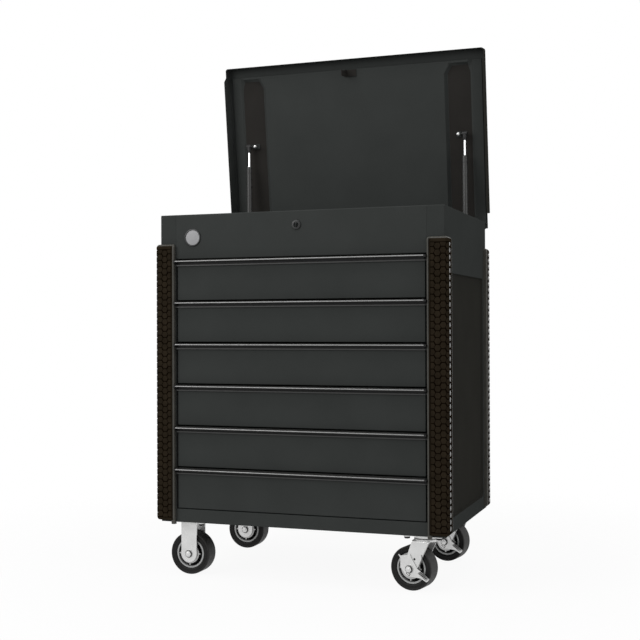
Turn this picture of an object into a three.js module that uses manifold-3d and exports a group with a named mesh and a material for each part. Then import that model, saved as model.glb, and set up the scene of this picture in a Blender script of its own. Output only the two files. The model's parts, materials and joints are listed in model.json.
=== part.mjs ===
// A six-drawer rolling tool cart with a lift-up lid over a top till, shown with its lid open.
// Millimetres. +X is the right side seen from the front, +Y is the back, +Z is up, the floor is z = 0.
import * as THREE from "three";
import { mergeVertices } from "three/addons/utils/BufferGeometryUtils.js";
import Module from "manifold-3d";

// Overall sizes
const bodyWidth = 880;
const bodyDepth = 569;
const bodyHeight = 925.5;
const casterHeight = 165.5;

// Sheet metal and clearances
const sheet = 1.5;
const seam = 0.3;
const overrun = 5;
const weld = 0.001;
const bendRadius = 3;
const bendSteps = 3;
const roundSteps = 5;

// Cabinet
const returnWidth = 51;
const railHeight = 40;
const railFlange = 20;
const recessDepth = 8;
const recessMargin = 44.5;
const tillBand = 186;
const rimFlange = 20;
const rimLip = 10;
const tillFrontHeight = 134;
const tillFloorLip = 20;
const backLap = 36;
const backLapUnder = 14;
const backTopFlange = 11;
const backDrop = 29;

// Drawers
const drawerCount = 6;
const drawerTopGap = 3;
const drawerGap = 2.5;
const drawerReveal = 4;
const drawerSideGap = 5;
const drawerFrontDepth = 18;
const traySideGap = 12;
const trayRearGap = 34.5;
const trayTopGap = 25;
const trayLift = 6;
const traySheet = 1.2;
const trayHem = 4;

// Slides
const railHalfHeight = 22.5;
const railReach = 9.5;
const railInset = 19;
const railTail = 14.5;
const runnerClearance = 0.35;
const runnerReach = 9.8;
const runnerInset = 22;
const uprightWidth = 28;
const uprightFlange = 14;

// Pulls
const pullReach = 20;
const pullHeight = 18;
const pullWall = 2.5;
const pullNose = 5;
const pullLip = 5;
const pullOverlap = 0.5;

// Corner bumpers
const bumperProud = 12;
const bumperEdgeGap = 1.5;
const bumperSideLeg = 50;
const bumperBottomLift = 5.5;
const bumperTopDrop = 88;
const bumperCorner = 9;
const bumperShoulder = 11;
const bumperInnerRound = 7.5;
const bumperBorder = 7;
const bumperFieldInset = 15.5;
const bumperFieldDepth = 1.6;

// Lid, in its closed place
const lidSheet = 1.2;
const lidRise = 8;
const lidOverhang = 10;
const lidSideSkirt = 52;
const lidFrontSkirt = 34;
const lidCornerNotch = 30;
const lidNotchSlope = 15;
const lidCornerRadius = 8;
const lidRearRelief = 50;
const lidRearOverhang = 2;
const lidRearSkirt = 6;
const lidBackInset = 2.5;
const lidHingeGap = 2;
const openAngle = THREE.MathUtils.degToRad(82.7);

// Lid liner
const linerSetback = 31;
const linerRearSetback = 20;
const linerMargin = 12;
const linerEdgeDepth = 4;
const linerPanelDepth = 12;
const channelInward = 56;
const channelOutward = 20;
const channelSlope = 10;
const channelSetback = 12;
const stripSlope = 6;

// Piano hinge
const knuckleRadius = 4;
const knuckleBore = 2.5;
const knuckleCount = 9;
const knuckleGap = 0.4;
const knuckleSteps = 10;
const barrelSteps = 12;
const hingePinRadius = 2.2;
const hingePinHead = 3.4;
const hingePinHeadLength = 2;
const hingeEndInset = 3;
const leafHeight = 33;
const leafKnuckleGap = 5;

// Gas struts
const strutInset = 60;
const strutFootInset = 22.5;
const strutFootDrop = 51;
const studReach = 314.5;
const studDrop = 26.5;
const tubeRadius = 9;
const tubeBore = 7.4;
const tubeNeckLength = 5;
const tubeShoulder = 3;
const rodRadius = 4;
const rodClearance = 0.3;
const pistonRadius = 7;
const pistonLength = 8;
const pistonStopGap = 2;
const socketRadius = 8;
const socketLength = 21;
const socketFlat = 8;
const socketTravelGap = 1.8;
const eyeRadius = 8;
const eyeHalfThickness = 6;
const eyeNeck = 14;
const pivotRadius = 4;
const pivotClearance = 0.35;
const pivotHeadRadius = 6.5;
const pivotHeadLength = 2.5;
const earThickness = 2;
const earGap = 2;
const footWidth = 30;
const footHeight = 44;
const lidEarInset = 12;
const lidEarWidth = 18;
const lidFootWidth = 20;
const studHeadLength = 5;

// Lock and striker
const lockDrop = 42;
const lockRimRadius = 14;
const lockRimThickness = 3;
const lockBarrelRadius = 9.5;
const lockHoleRadius = 9.8;
const lockLength = 22;
const plugRadius = 7;
const plugClearance = 0.3;
const plugProud = 1;
const keySlotWidth = 1.6;
const keySlotLength = 8;
const keySlotDepth = 6;
const camLength = 27;
const camWidth = 12;
const camThickness = 3;
const camGap = 1;
const strikerWidth = 43;
const strikerDepth = 22;
const strikerThickness = 2;
const strikerOffset = -5.5;
const strikerSetback = 34;
const tongueOffset = -20;
const hookHeight = 5;
const hookClearance = 2;

// Casters
const casterInset = 73;
const casterEndInset = 69.5;
const plateLength = 114;
const plateDepth = 102;
const plateThickness = 4;
const plateCorner = 8;
const wheelRadius = 63.5;
const tyreHalfWidth = 25;
const tyreShoulder = 3.5;
const tyreGroove = 1.5;
const rimRadius = 45;
const rimThickness = 6;
const tyreClearance = 0.4;
const rimHalfWidth = 20;
const webHalfThickness = 5;
const hubRadius = 16;
const hubHalfLength = 27;
const hubFlangeRadius = 28.5;
const hubFlangeThickness = 2;
const hubBore = 6.4;
const wheelSteps = 24;
const coreSteps = 16;
const axleRadius = 6;
const axleHeadRadius = 9.5;
const axleHeadLength = 7;
const axleWasherRadius = 12.5;
const axleWasherThickness = 1.5;
const legInner = 28;
const legThickness = 4;
const legHalfWidth = 25;
const axleHole = 6.6;
const rigidCrown = 8;
const trail = 38;
const swivelTurn = THREE.MathUtils.degToRad(-10);
const raceRadius = 35.5;
const raceTaper = 3;
const upperRace = 10;
const lowerRace = 4;
const raceGap = 0.5;
const crownThickness = 6;
const crownBack = 30;
const crownFront = 23;
const kingPinRadius = 8;
const kingPinClearance = 0.4;
const kingPinHead = 13;
const kingPinHeadLength = 6;
const raceSteps = 14;
const headSides = 6;

// Caster brake
const leverThickness = 3;
const leverGap = 0.4;
const leverBore = 6.6;
const leverReach = 62;
const pedalDepth = 20;
const heelShares = [[-0.45, 0.08], [-0.45, 0.48], [-0.61, 0.69], [-0.42, 0.58], [0.03, 0.68]];
const shoulderShares = [[0.15, 0.45], [0.32, 0.18], [0.4, 0.05]];
const toeRootShares = [0.56, -0.05];
const toeTipShares = [1, -0.37];
const underShares = [[0.87, -0.52], [0.56, -0.37], [0.03, -0.34], [-0.26, -0.2]];
const washerGap = 0.4;

// Places worked out from the sizes above
const front = -bodyDepth / 2;
const back = bodyDepth / 2;
const side = bodyWidth / 2;
const base = casterHeight;
const rim = base + bodyHeight;
const returnEdge = side - returnWidth;
const backTop = rim - backDrop;
const openingBottom = base + railHeight;
const tillBottom = rim - tillFrontHeight;
const tillFloor = tillBottom + sheet + seam;
const panStart = front + bendRadius + seam;
const bumperInnerEdge = returnEdge + bumperEdgeGap;
const strutPlane = side - strutInset;
const strutFootY = back - strutFootInset;
const strutFootZ = rim - strutFootDrop;
const casterX = side - casterInset;
const casterY = back - casterEndInset;
const rearStop = back - 2 * (sheet + seam);
const hingeY = back + seam + knuckleRadius;
const hingeZ = backTop + lidHingeGap;
const lidTop = rim + lidRise;
const lidFront = front - lidOverhang;
const skinUnder = lidTop - lidSheet;
const frontReach = front - pullReach;
const lidTopReach = (lidTop - hingeZ) * Math.sin(openAngle);
const rearReach = hingeY + lidTopReach - (hingeY - back) * Math.cos(openAngle);

const wasm = await Module();
wasm.setup();

// Materials
function finish(color, roughness, metalness) {
  return new THREE.MeshStandardMaterial({ color, roughness, metalness });
}
const paint = () => finish(0x383937, 0.55, 0.2);
const pullMetal = () => finish(0x8e8e8e, 0.35, 0.9);
const bumperRubber = () => finish(0x1e1a14, 0.8, 0);
const zinc = () => finish(0xc9cbcc, 0.3, 0.9);
const chrome = () => finish(0xe6e8ea, 0.12, 1);
const blackMetal = () => finish(0x161616, 0.4, 0.4);
const tyreRubber = () => finish(0x222222, 0.85, 0);
const wheelPlastic = () => finish(0x4a4b4b, 0.6, 0.1);

// A closed geometry as a solid that can be joined and cut
function solid(geometry) {
  const bare = geometry.index ? geometry.toNonIndexed() : geometry.clone();
  bare.deleteAttribute("normal");
  bare.deleteAttribute("uv");
  const merged = mergeVertices(bare, weld);
  return new wasm.Manifold(
    new wasm.Mesh({
      numProp: 3,
      vertProperties: merged.attributes.position.array,
      triVerts: new Uint32Array(merged.index.array),
    }),
  );
}

// A solid as a flat-shaded geometry
function geometryOf(shape) {
  const made = shape.getMesh();
  const indexed = new THREE.BufferGeometry();
  indexed.setAttribute("position", new THREE.BufferAttribute(made.vertProperties, 3));
  indexed.setIndex(new THREE.BufferAttribute(made.triVerts, 1));
  const geometry = indexed.toNonIndexed();
  geometry.computeVertexNormals();
  return geometry;
}

function piece(name, shape, material) {
  const mesh = new THREE.Mesh(geometryOf(shape), material);
  mesh.name = name;
  return mesh;
}

// Outlines in a plane
function outline(points) {
  return new THREE.Shape(points.map(([a, b]) => new THREE.Vector2(a, b)));
}

function disc(a, b, radius) {
  return new THREE.Shape().absarc(a, b, radius, 0, 2 * Math.PI, false);
}

function roundedBox(a0, a1, b0, b1, radius) {
  const shape = new THREE.Shape();
  shape.absarc(a1 - radius, b0 + radius, radius, -Math.PI / 2, 0, false);
  shape.absarc(a1 - radius, b1 - radius, radius, 0, Math.PI / 2, false);
  shape.absarc(a0 + radius, b1 - radius, radius, Math.PI / 2, Math.PI, false);
  shape.absarc(a0 + radius, b0 + radius, radius, Math.PI, 1.5 * Math.PI, false);
  return shape;
}

// A folded sheet's section: the bent line, and the same line one sheet to its left
function folded(line, thickness, radius = 0) {
  const corners = line.map(([a, b]) => new THREE.Vector2(a, b));
  const path = [corners[0]];
  for (let i = 1; i < corners.length - 1; i++) {
    const here = corners[i];
    const before = corners[i - 1].clone().sub(here).normalize();
    const after = corners[i + 1].clone().sub(here).normalize();
    if (radius === 0) path.push(here);
    else {
      const start = here.clone().addScaledVector(before, radius);
      const end = here.clone().addScaledVector(after, radius);
      const bend = new THREE.QuadraticBezierCurve(start, here, end);
      path.push(...bend.getPoints(bendSteps));
    }
  }
  path.push(corners[corners.length - 1]);
  const inner = path.map((point, i) => {
    const leftOf = (from, to) => {
      const along = to.clone().sub(from).normalize();
      return new THREE.Vector2(-along.y, along.x);
    };
    const first = leftOf(path[Math.max(i - 1, 0)], path[Math.max(i, 1)]);
    const last = leftOf(path[Math.min(i, path.length - 2)], path[Math.min(i + 1, path.length - 1)]);
    const share = thickness / (1 + first.dot(last));
    return point.clone().addScaledVector(first, share).addScaledVector(last, share);
  });
  return new THREE.Shape([...path, ...inner.reverse()]);
}

// Prisms of an outline: along Z of an (x, y) outline, along X of a (y, z) one, along Y of an (x, z) one
function prism(shape, depth, steps) {
  return new THREE.ExtrudeGeometry(shape, { depth, bevelEnabled: false, curveSegments: steps });
}

function alongZ(shape, from, to, steps = roundSteps) {
  return solid(prism(shape, to - from, steps).translate(0, 0, from));
}

function alongX(shape, from, to, steps = roundSteps) {
  const turn = new THREE.Matrix4().makeBasis(
    new THREE.Vector3(0, 1, 0),
    new THREE.Vector3(0, 0, 1),
    new THREE.Vector3(1, 0, 0),
  );
  return solid(prism(shape, to - from, steps).translate(0, 0, from).applyMatrix4(turn));
}

function alongY(shape, from, to, steps = roundSteps) {
  const turn = new THREE.Matrix4().makeBasis(
    new THREE.Vector3(1, 0, 0),
    new THREE.Vector3(0, 0, 1),
    new THREE.Vector3(0, -1, 0),
  );
  return solid(prism(shape, to - from, steps).translate(0, 0, -to).applyMatrix4(turn));
}

function block(x0, x1, y0, y1, z0, z1) {
  const box = new THREE.BoxGeometry(x1 - x0, y1 - y0, z1 - z0);
  return solid(box.translate((x0 + x1) / 2, (y0 + y1) / 2, (z0 + z1) / 2));
}

// Turned pieces from [radius, height] points, about the Y axis or the Z axis
function turned(profile, steps) {
  const points = profile.map(([radius, height]) => new THREE.Vector2(radius, height));
  if (THREE.ShapeUtils.area(points) < 0) points.reverse();
  const closed = profile[0][0] === 0 ? points : [...points, points[0].clone()];
  return new THREE.LatheGeometry(closed, steps);
}

function turnedY(profile, steps = wheelSteps) {
  return solid(turned(profile, steps));
}

function turnedZ(profile, steps = wheelSteps) {
  return solid(turned(profile, steps).rotateX(Math.PI / 2));
}

function turnedX(profile, steps = wheelSteps) {
  return solid(turned(profile, steps).rotateZ(-Math.PI / 2));
}

// Names, places and mirroring
function placed(mesh, x, y, z) {
  mesh.position.set(x, y, z);
  return mesh;
}

function mirrored(mesh, sign) {
  mesh.scale.x = sign;
  return mesh;
}

const sides = [
  { word: "left", sign: -1 },
  { word: "right", sign: 1 },
];

// A side wall folded round both corners, with its pressed recess and its rolled rim
function sidePanel() {
  const plan = folded(
    [
      [returnEdge, front],
      [side, front],
      [side, back],
      [returnEdge, back],
    ],
    sheet,
    bendRadius,
  );
  const low = base + railHeight;
  const high = rim - tillBand;
  const edge = back - recessMargin;
  const floor = side - recessDepth;
  const pan = block(floor - sheet, side, -edge - sheet, edge + sheet, low - sheet, high + sheet)
    .subtract(block(floor, side + overrun, -edge, edge, low, high));
  const window = block(side - 2 * sheet, side + overrun, -edge, edge, low, high);
  const rimPlan = outline([
    [returnEdge, front + sheet / 2],
    [side - sheet / 2, front + sheet / 2],
    [side - sheet / 2, back],
    [side - rimFlange, back],
    [side - rimFlange, front + rimFlange],
    [returnEdge, front + rimFlange],
  ]);
  const lip = block(side - rimFlange, side - rimFlange + sheet, front + rimFlange - sheet, back,
    rim - rimLip, rim);
  const frontLip = block(returnEdge, side - rimFlange + sheet, front + rimFlange - sheet, front + rimFlange,
    rim - rimLip, rim);
  const rearNotch = block(returnEdge - overrun, side - lidBackInset + seam, back - bendRadius - sheet,
    back + overrun, backTop, rim + overrun);
  return alongZ(plan, base, rim)
    .subtract(window)
    .add(pan)
    .add(alongZ(rimPlan, rim - sheet, rim))
    .add(lip)
    .add(frontLip)
    .subtract(rearNotch);
}

// The back sheet, flush between the side panels' returns, with a lap behind each return
function backPanel() {
  const edge = returnEdge - seam;
  const lapOuter = back - sheet - seam;
  const lapInner = lapOuter - sheet;
  const half = [
    [edge, back],
    [edge, lapOuter],
    [edge + backLap, lapOuter],
    [edge + backLap, lapInner],
    [edge - backLapUnder, lapInner],
    [edge - backLapUnder, back - sheet],
  ];
  const other = half.map(([x, y]) => [-x, y]).reverse();
  const flange = block(-edge, edge, back - backTopFlange, back, backTop - sheet, backTop);
  return alongZ(outline([...half, ...other]), base, backTop).add(flange);
}

// The panel in front of the till, folded in at top and bottom, with the lock's hole
function tillFront() {
  const section = folded(
    [
      [front + rimFlange, rim - rimLip],
      [front + rimFlange, rim],
      [front, rim],
      [front, tillBottom],
      [front + rimFlange, tillBottom],
    ],
    sheet,
    bendRadius,
  );
  const hole = alongY(disc(0, rim - lockDrop, lockHoleRadius), front - overrun, front + overrun,
    roundSteps * 2);
  return alongX(section, -returnEdge + seam, returnEdge - seam).subtract(hole);
}

// The till's floor, a shallow pan with its edges turned up
function tillFloorPan() {
  const reach = side - sheet - seam;
  const near = panStart;
  const whole = block(-reach, reach, near, rearStop, tillFloor, tillFloor + tillFloorLip);
  const hollow = block(-reach + sheet, reach - sheet, near + sheet, rearStop - sheet, tillFloor + sheet,
    tillFloor + tillFloorLip + overrun);
  return whole.subtract(hollow);
}

// The bottom pan: front rail, floor and rear flange in one folded sheet, with wings to the side walls
function basePan() {
  const section = folded(
    [
      [front + railFlange, openingBottom],
      [front, openingBottom],
      [front, base],
      [rearStop, base],
      [rearStop, base + railFlange],
    ],
    sheet,
    bendRadius,
  );
  const edge = returnEdge - seam;
  const reach = side - sheet - seam;
  const wings = block(-reach, reach, panStart, rearStop - bendRadius, base, base + sheet);
  return alongX(section, -edge, edge).add(wings);
}

// A rubber corner bumper: an angle with a round arris and shoulders, and a sunk field in each face
function bumper() {
  const low = base + bumperBottomLift;
  const high = rim - bumperTopDrop;
  const outer = side + bumperProud;
  const near = front - bumperProud;
  const far = near + bumperSideLeg;
  const inner = side + seam;
  const seat = front - seam;
  const angle = new THREE.Shape();
  angle.moveTo(bumperInnerEdge, seat);
  angle.lineTo(bumperInnerEdge, near);
  angle.absarc(outer - bumperCorner, near + bumperCorner, bumperCorner, -Math.PI / 2, 0, false);
  angle.lineTo(outer, far);
  angle.lineTo(inner, far);
  angle.lineTo(inner, seat);
  const face = new THREE.Shape();
  face.moveTo(bumperInnerEdge, low);
  face.absarc(outer - bumperShoulder, low + bumperShoulder, bumperShoulder, -Math.PI / 2, 0, false);
  face.absarc(outer - bumperShoulder, high - bumperShoulder, bumperShoulder, 0, Math.PI / 2, false);
  face.absarc(bumperInnerEdge + bumperInnerRound, high - bumperInnerRound, bumperInnerRound,
    Math.PI / 2, Math.PI, false);
  const flank = new THREE.Shape();
  flank.absarc(near + bumperShoulder, low + bumperShoulder, bumperShoulder, Math.PI, 1.5 * Math.PI, false);
  flank.lineTo(far, low);
  flank.absarc(far - bumperInnerRound, high - bumperInnerRound, bumperInnerRound, 0, Math.PI / 2, false);
  flank.absarc(near + bumperShoulder, high - bumperShoulder, bumperShoulder, Math.PI / 2, Math.PI, false);
  const fieldLow = low + bumperFieldInset;
  const fieldHigh = high - bumperFieldInset;
  const faceField = block(bumperInnerEdge + bumperBorder, outer - bumperCorner, near - overrun,
    near + bumperFieldDepth, fieldLow, fieldHigh);
  const flankField = block(outer - bumperFieldDepth, outer + overrun, near + bumperCorner, far - bumperBorder,
    fieldLow, fieldHigh);
  return alongZ(angle, low, high)
    .intersect(alongY(face, near - overrun, far + overrun))
    .intersect(alongX(flank, bumperInnerEdge - overrun, outer + overrun))
    .subtract(faceField)
    .subtract(flankField);
}

// Drawer places, counted from the bottom
const lowestDrawer = openingBottom + drawerGap;
const drawerPitch = (tillBottom - drawerTopGap + drawerReveal - lowestDrawer) / drawerCount;
const drawerHeight = drawerPitch - drawerReveal;
const frontHalfWidth = returnEdge - drawerSideGap;
const trayHalfWidth = frontHalfWidth - traySideGap;
const trayDepth = bodyDepth - trayRearGap;
const trayHeight = drawerHeight - trayLift - trayTopGap;
const slideHeight = trayLift + trayHeight / 2;

function drawerBottom(index) {
  return lowestDrawer + index * drawerPitch;
}

// The channel that a runner slides in, closed at its web, drawn on the right side
function channelShape(web, tip, halfHeight, height) {
  const inward = Math.sign(tip - web) * sheet;
  const shape = outline([
    [web, height - halfHeight],
    [tip, height - halfHeight],
    [tip, height - halfHeight + sheet],
    [web + inward, height - halfHeight + sheet],
    [web + inward, height + halfHeight - sheet],
    [tip, height + halfHeight - sheet],
    [tip, height + halfHeight],
    [web, height + halfHeight],
  ]);
  return shape;
}

// The right side's two slotted uprights with the six fixed slide channels that they carry
function slideRack() {
  const web = returnEdge - drawerSideGap / 2 - seam;
  const low = openingBottom + seam;
  const high = tillBottom - seam;
  const upright = (from, to) => alongZ(
    folded(
      [
        [web + uprightFlange, from],
        [web - sheet / 2, from],
        [web - sheet / 2, to],
        [web + uprightFlange, to],
      ].reverse(),
      sheet,
    ),
    low,
    high,
  );
  const near = front + sheet + seam;
  let rack = upright(near, near + uprightWidth).add(upright(rearStop - uprightWidth, rearStop));
  for (let i = 0; i < drawerCount; i++) {
    const channel = channelShape(web, web - railReach, railHalfHeight, drawerBottom(i) + slideHeight);
    rack = rack.add(alongY(channel, front + railInset, back - railTail));
  }
  return rack;
}

// A drawer: its folded front, its tray and the runner riveted to each side, with the bottom edge at z = 0
function drawer() {
  const frontPan = block(-frontHalfWidth, frontHalfWidth, front, front + drawerFrontDepth, 0, drawerHeight)
    .subtract(block(-frontHalfWidth + sheet, frontHalfWidth - sheet, front + sheet,
      front + drawerFrontDepth + overrun, sheet, drawerHeight - sheet));
  const near = front + sheet / 2;
  const far = front + trayDepth;
  const top = trayLift + trayHeight;
  const tray = block(-trayHalfWidth, trayHalfWidth, near, far, trayLift, top)
    .subtract(block(-trayHalfWidth + traySheet, trayHalfWidth - traySheet, near - overrun, far - traySheet,
      trayLift + traySheet, top + overrun));
  const hem = (x0, x1) => block(x0, x1, near, far, top - traySheet, top);
  const webOuter = trayHalfWidth + sheet;
  const webHalf = railHalfHeight - sheet - runnerClearance;
  const webInner = trayHalfWidth - traySheet / 2;
  const runner = channelShape(webInner, trayHalfWidth + runnerReach, webHalf, slideHeight);
  const runnerBar = alongY(runner, front + runnerInset, far)
    .add(block(webInner, webOuter, front + runnerInset, far,
      slideHeight - webHalf, slideHeight + webHalf));
  const otherRunner = runnerBar.mirror([1, 0, 0]);
  return frontPan
    .add(tray)
    .add(hem(trayHalfWidth - trayHem, trayHalfWidth))
    .add(hem(-trayHalfWidth, -trayHalfWidth + trayHem))
    .add(runnerBar)
    .add(otherRunner);
}

// The extruded pull along a drawer's top edge: back plate, forward wing with a bead, and finger slot
function pull() {
  const seat = front - seam;
  const tip = front - pullReach;
  const nose = pullNose / 2;
  const section = new THREE.Shape();
  section.moveTo(seat, drawerHeight - pullHeight);
  section.lineTo(seat, drawerHeight);
  section.lineTo(seat - pullWall, drawerHeight);
  section.quadraticCurveTo(tip + nose, drawerHeight, tip + nose / 2, drawerHeight - pullNose);
  section.absarc(tip + nose, drawerHeight - pullNose - nose, nose, Math.PI * 0.75, Math.PI * 1.75, false);
  section.quadraticCurveTo(tip + pullNose * 1.5, drawerHeight - pullWall * 1.6, seat - pullWall * 1.2,
    drawerHeight - pullWall * 1.4);
  section.lineTo(seat - pullWall, drawerHeight - pullWall * 2);
  section.lineTo(seat - pullWall, drawerHeight - pullHeight + sheet);
  section.lineTo(seat - pullLip, drawerHeight - pullHeight + sheet);
  section.lineTo(seat - pullLip, drawerHeight - pullHeight);
  const half = returnEdge + pullOverlap;
  return alongX(section, -half, half);
}

// The lid's pressed outer shell, in its closed place
function lidShell() {
  const wide = side + lidOverhang;
  const narrow = side + lidRearOverhang;
  const step = back - lidRearRelief;
  const plan = (inset) => {
    const shape = new THREE.Shape();
    const x = wide - inset;
    const y = lidFront + inset;
    const radius = lidCornerRadius - inset;
    shape.absarc(x - radius, y + radius, radius, -Math.PI / 2, 0, false);
    shape.lineTo(x, step - inset);
    shape.lineTo(narrow - inset, step - inset);
    shape.lineTo(narrow - inset, back - inset);
    shape.lineTo(-narrow + inset, back - inset);
    shape.lineTo(-narrow + inset, step - inset);
    shape.lineTo(-x, step - inset);
    shape.absarc(-x + radius, y + radius, radius, Math.PI, 1.5 * Math.PI, false);
    return shape;
  };
  const bottom = lidTop - lidSideSkirt;
  const notch = outline([
    [lidFront - overrun, lidTop - lidFrontSkirt],
    [lidFront + lidCornerNotch, lidTop - lidFrontSkirt],
    [lidFront + lidCornerNotch + lidNotchSlope, bottom],
    [lidFront + lidCornerNotch + lidNotchSlope, bottom - overrun],
    [lidFront - overrun, bottom - overrun],
  ]);
  const frontCut = alongX(notch, -wide - overrun, wide + overrun);
  const rearCut = block(-wide - overrun, wide + overrun, step, back + overrun, bottom - overrun,
    lidTop - lidRearSkirt);
  const rearHalf = side - lidBackInset;
  const rearSkirt = block(-rearHalf, rearHalf, back - lidSheet, back, hingeZ + lidHingeGap, lidTop);
  return alongZ(plan(0), bottom, lidTop)
    .subtract(alongZ(plan(lidSheet), bottom - overrun, skinUnder))
    .subtract(frontCut)
    .subtract(rearCut)
    .add(rearSkirt);
}

// The lid's inner pan: edge strips, a raised centre panel, and two sunk channels for the struts that are
// closed near the lid's front edge
function lidLiner() {
  const edge = side + lidOverhang - linerMargin;
  const channel = skinUnder - seam - lidSheet;
  const strip = skinUnder - linerEdgeDepth - lidSheet;
  const panel = skinUnder - linerPanelDepth;
  const inner = strutPlane - channelInward;
  const outer = strutPlane + channelOutward;
  const half = [
    [inner - channelSlope, panel],
    [inner, channel],
    [outer, channel],
    [outer + stripSlope, strip],
    [edge, strip],
    [edge, channel],
  ];
  const border = [
    [outer, panel],
    [outer + stripSlope, strip],
    [edge, strip],
    [edge, channel],
  ];
  const whole = (points) => [...points.map(([x, z]) => [-x, z]).reverse(), ...points];
  const cap = (points) => outline([
    ...whole(points).slice(1, -1),
    [edge, strip + lidSheet],
    [edge, channel + lidSheet],
    [-edge, channel + lidSheet],
  ]);
  const channelEnd = outline([
    [inner - channelSlope, panel],
    [outer, panel],
    [outer + stripSlope, strip],
    [outer, channel + lidSheet],
    [inner, channel + lidSheet],
    [inner - channelSlope, panel + lidSheet],
  ]);
  const near = lidFront + linerSetback;
  const step = near + channelSetback;
  const far = hingeY - linerRearSetback;
  const end = alongY(channelEnd, step - lidSheet, step);
  return alongY(folded(whole(half), lidSheet), step - lidSheet, far)
    .add(alongY(folded(whole(border), lidSheet), near, step))
    .add(end)
    .add(end.mirror([1, 0, 0]))
    .add(alongY(cap(border), near, near + lidSheet))
    .add(alongY(cap(half), far - lidSheet, far));
}

// The striker: a foot on the liner, and a hooked tongue whose toe the lock's cam turns over from above
function lidStriker() {
  const near = lidFront + strikerSetback;
  const far = near + strikerDepth;
  const top = skinUnder - linerPanelDepth - seam;
  const lockHeight = rim - lockDrop;
  const toeTop = lockHeight - camWidth / 2 - hookClearance;
  const sweep = Math.hypot(camLength, camWidth / 2);
  const cutTop = lockHeight + Math.sqrt(sweep ** 2 - tongueOffset ** 2) + hookClearance;
  const foot = block(strikerOffset - strikerWidth / 2, strikerOffset + strikerWidth / 2, near, far,
    top - strikerThickness, top);
  const left = tongueOffset - strikerThickness / 2;
  const right = tongueOffset + strikerThickness / 2;
  const tongue = block(left, right, near, far, toeTop - hookHeight, top - strikerThickness / 2);
  const camRear = front + lockLength + camGap + camThickness;
  const cut = block(left - overrun, right + overrun, near - overrun, camRear + hookClearance, toeTop, cutTop);
  return foot.add(tongue).subtract(cut);
}

// One leaf of the piano hinge about the X axis; up is the lid's leaf, with the even knuckles
function hingeLeaf(up) {
  const half = side - lidBackInset - hingeEndInset;
  const pitch = (2 * half) / knuckleCount;
  const plateNear = -knuckleRadius;
  const plateFar = -knuckleRadius + sheet;
  const sign = up ? 1 : -1;
  const span = (from, to) => [Math.min(sign * from, sign * to), Math.max(sign * from, sign * to)];
  let leaf = block(-half, half, plateNear, plateFar, ...span(leafKnuckleGap, leafHeight));
  for (let i = up ? 1 : 0; i < knuckleCount; i += 2) {
    const from = -half + i * pitch + knuckleGap / 2;
    const to = -half + (i + 1) * pitch - knuckleGap / 2;
    leaf = leaf
      .add(turnedX([[0, from], [knuckleRadius, from], [knuckleRadius, to], [0, to]], knuckleSteps))
      .add(block(from, to, plateNear, plateFar, ...span(0, leafKnuckleGap + sheet)));
  }
  const bore = turnedX([
    [0, -half - overrun], [knuckleBore, -half - overrun], [knuckleBore, half + overrun], [0, half + overrun],
  ], knuckleSteps);
  return leaf.subtract(bore);
}

function hingePin() {
  const half = side - lidBackInset - hingeEndInset + seam;
  return turnedX([
    [0, -half - hingePinHeadLength],
    [hingePinHead, -half - hingePinHeadLength],
    [hingePinHead, -half],
    [hingePinRadius, -half],
    [hingePinRadius, half],
    [hingePinHead, half],
    [hingePinHead, half + hingePinHeadLength],
    [0, half + hingePinHeadLength],
  ], knuckleSteps);
}

// The strut's geometry: its foot in the till, and its stud on the lid when open and when closed
const footPoint = new THREE.Vector2(strutFootY, strutFootZ);
const studClosed = new THREE.Vector2(hingeY - studReach, lidTop - studDrop);
const studOpen = studClosed.clone().sub(new THREE.Vector2(hingeY, hingeZ));
studOpen.rotateAround(new THREE.Vector2(0, 0), -openAngle).add(new THREE.Vector2(hingeY, hingeZ));
const strutOpenLength = studOpen.distanceTo(footPoint);
const strutClosedLength = studClosed.distanceTo(footPoint);
const strutLean = Math.atan2(studOpen.x - footPoint.x, studOpen.y - footPoint.y);
const tubeLength = strutClosedLength - socketLength - socketTravelGap;
const neckBore = rodRadius + rodClearance;

// The gas strut's cylinder along +Z from its eye, with the bore that the piston runs in
function strutCylinder() {
  const tube = turnedZ([
    [0, eyeNeck],
    [tubeRadius - tubeShoulder, eyeNeck],
    [tubeRadius, eyeNeck + tubeShoulder],
    [tubeRadius, tubeLength - sheet],
    [tubeRadius - sheet, tubeLength],
    [neckBore, tubeLength],
    [neckBore, tubeLength - tubeNeckLength],
    [tubeBore, tubeLength - tubeNeckLength],
    [tubeBore, eyeNeck + 2 * tubeShoulder],
    [0, eyeNeck + 2 * tubeShoulder],
  ], barrelSteps);
  const tongue = new THREE.Shape();
  tongue.absarc(0, 0, eyeRadius, Math.PI, 2 * Math.PI, false);
  tongue.lineTo(eyeRadius - tubeShoulder, eyeNeck + sheet);
  tongue.lineTo(-eyeRadius + tubeShoulder, eyeNeck + sheet);
  const hole = alongX(disc(0, 0, pivotRadius + pivotClearance), -eyeHalfThickness - overrun,
    eyeHalfThickness + overrun, knuckleSteps / 2);
  return alongX(tongue, -eyeHalfThickness, eyeHalfThickness).subtract(hole).add(tube);
}

// The chromed rod with its piston, and the black end socket that meets the lid's stud
function strutRod() {
  const end = strutOpenLength - socketLength;
  const piston = tubeLength - tubeNeckLength - pistonStopGap;
  const rod = turnedZ([
    [0, piston - pistonLength],
    [pistonRadius, piston - pistonLength],
    [pistonRadius, piston],
    [rodRadius, piston],
    [rodRadius, end + sheet],
    [0, end + sheet],
  ], barrelSteps);
  const socket = new THREE.Shape();
  socket.absarc(0, strutOpenLength, socketRadius, 0, Math.PI, false);
  socket.lineTo(-socketRadius + sheet, end);
  socket.lineTo(socketRadius - sheet, end);
  return rod.add(alongX(socket, -socketFlat, socketFlat));
}

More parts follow.
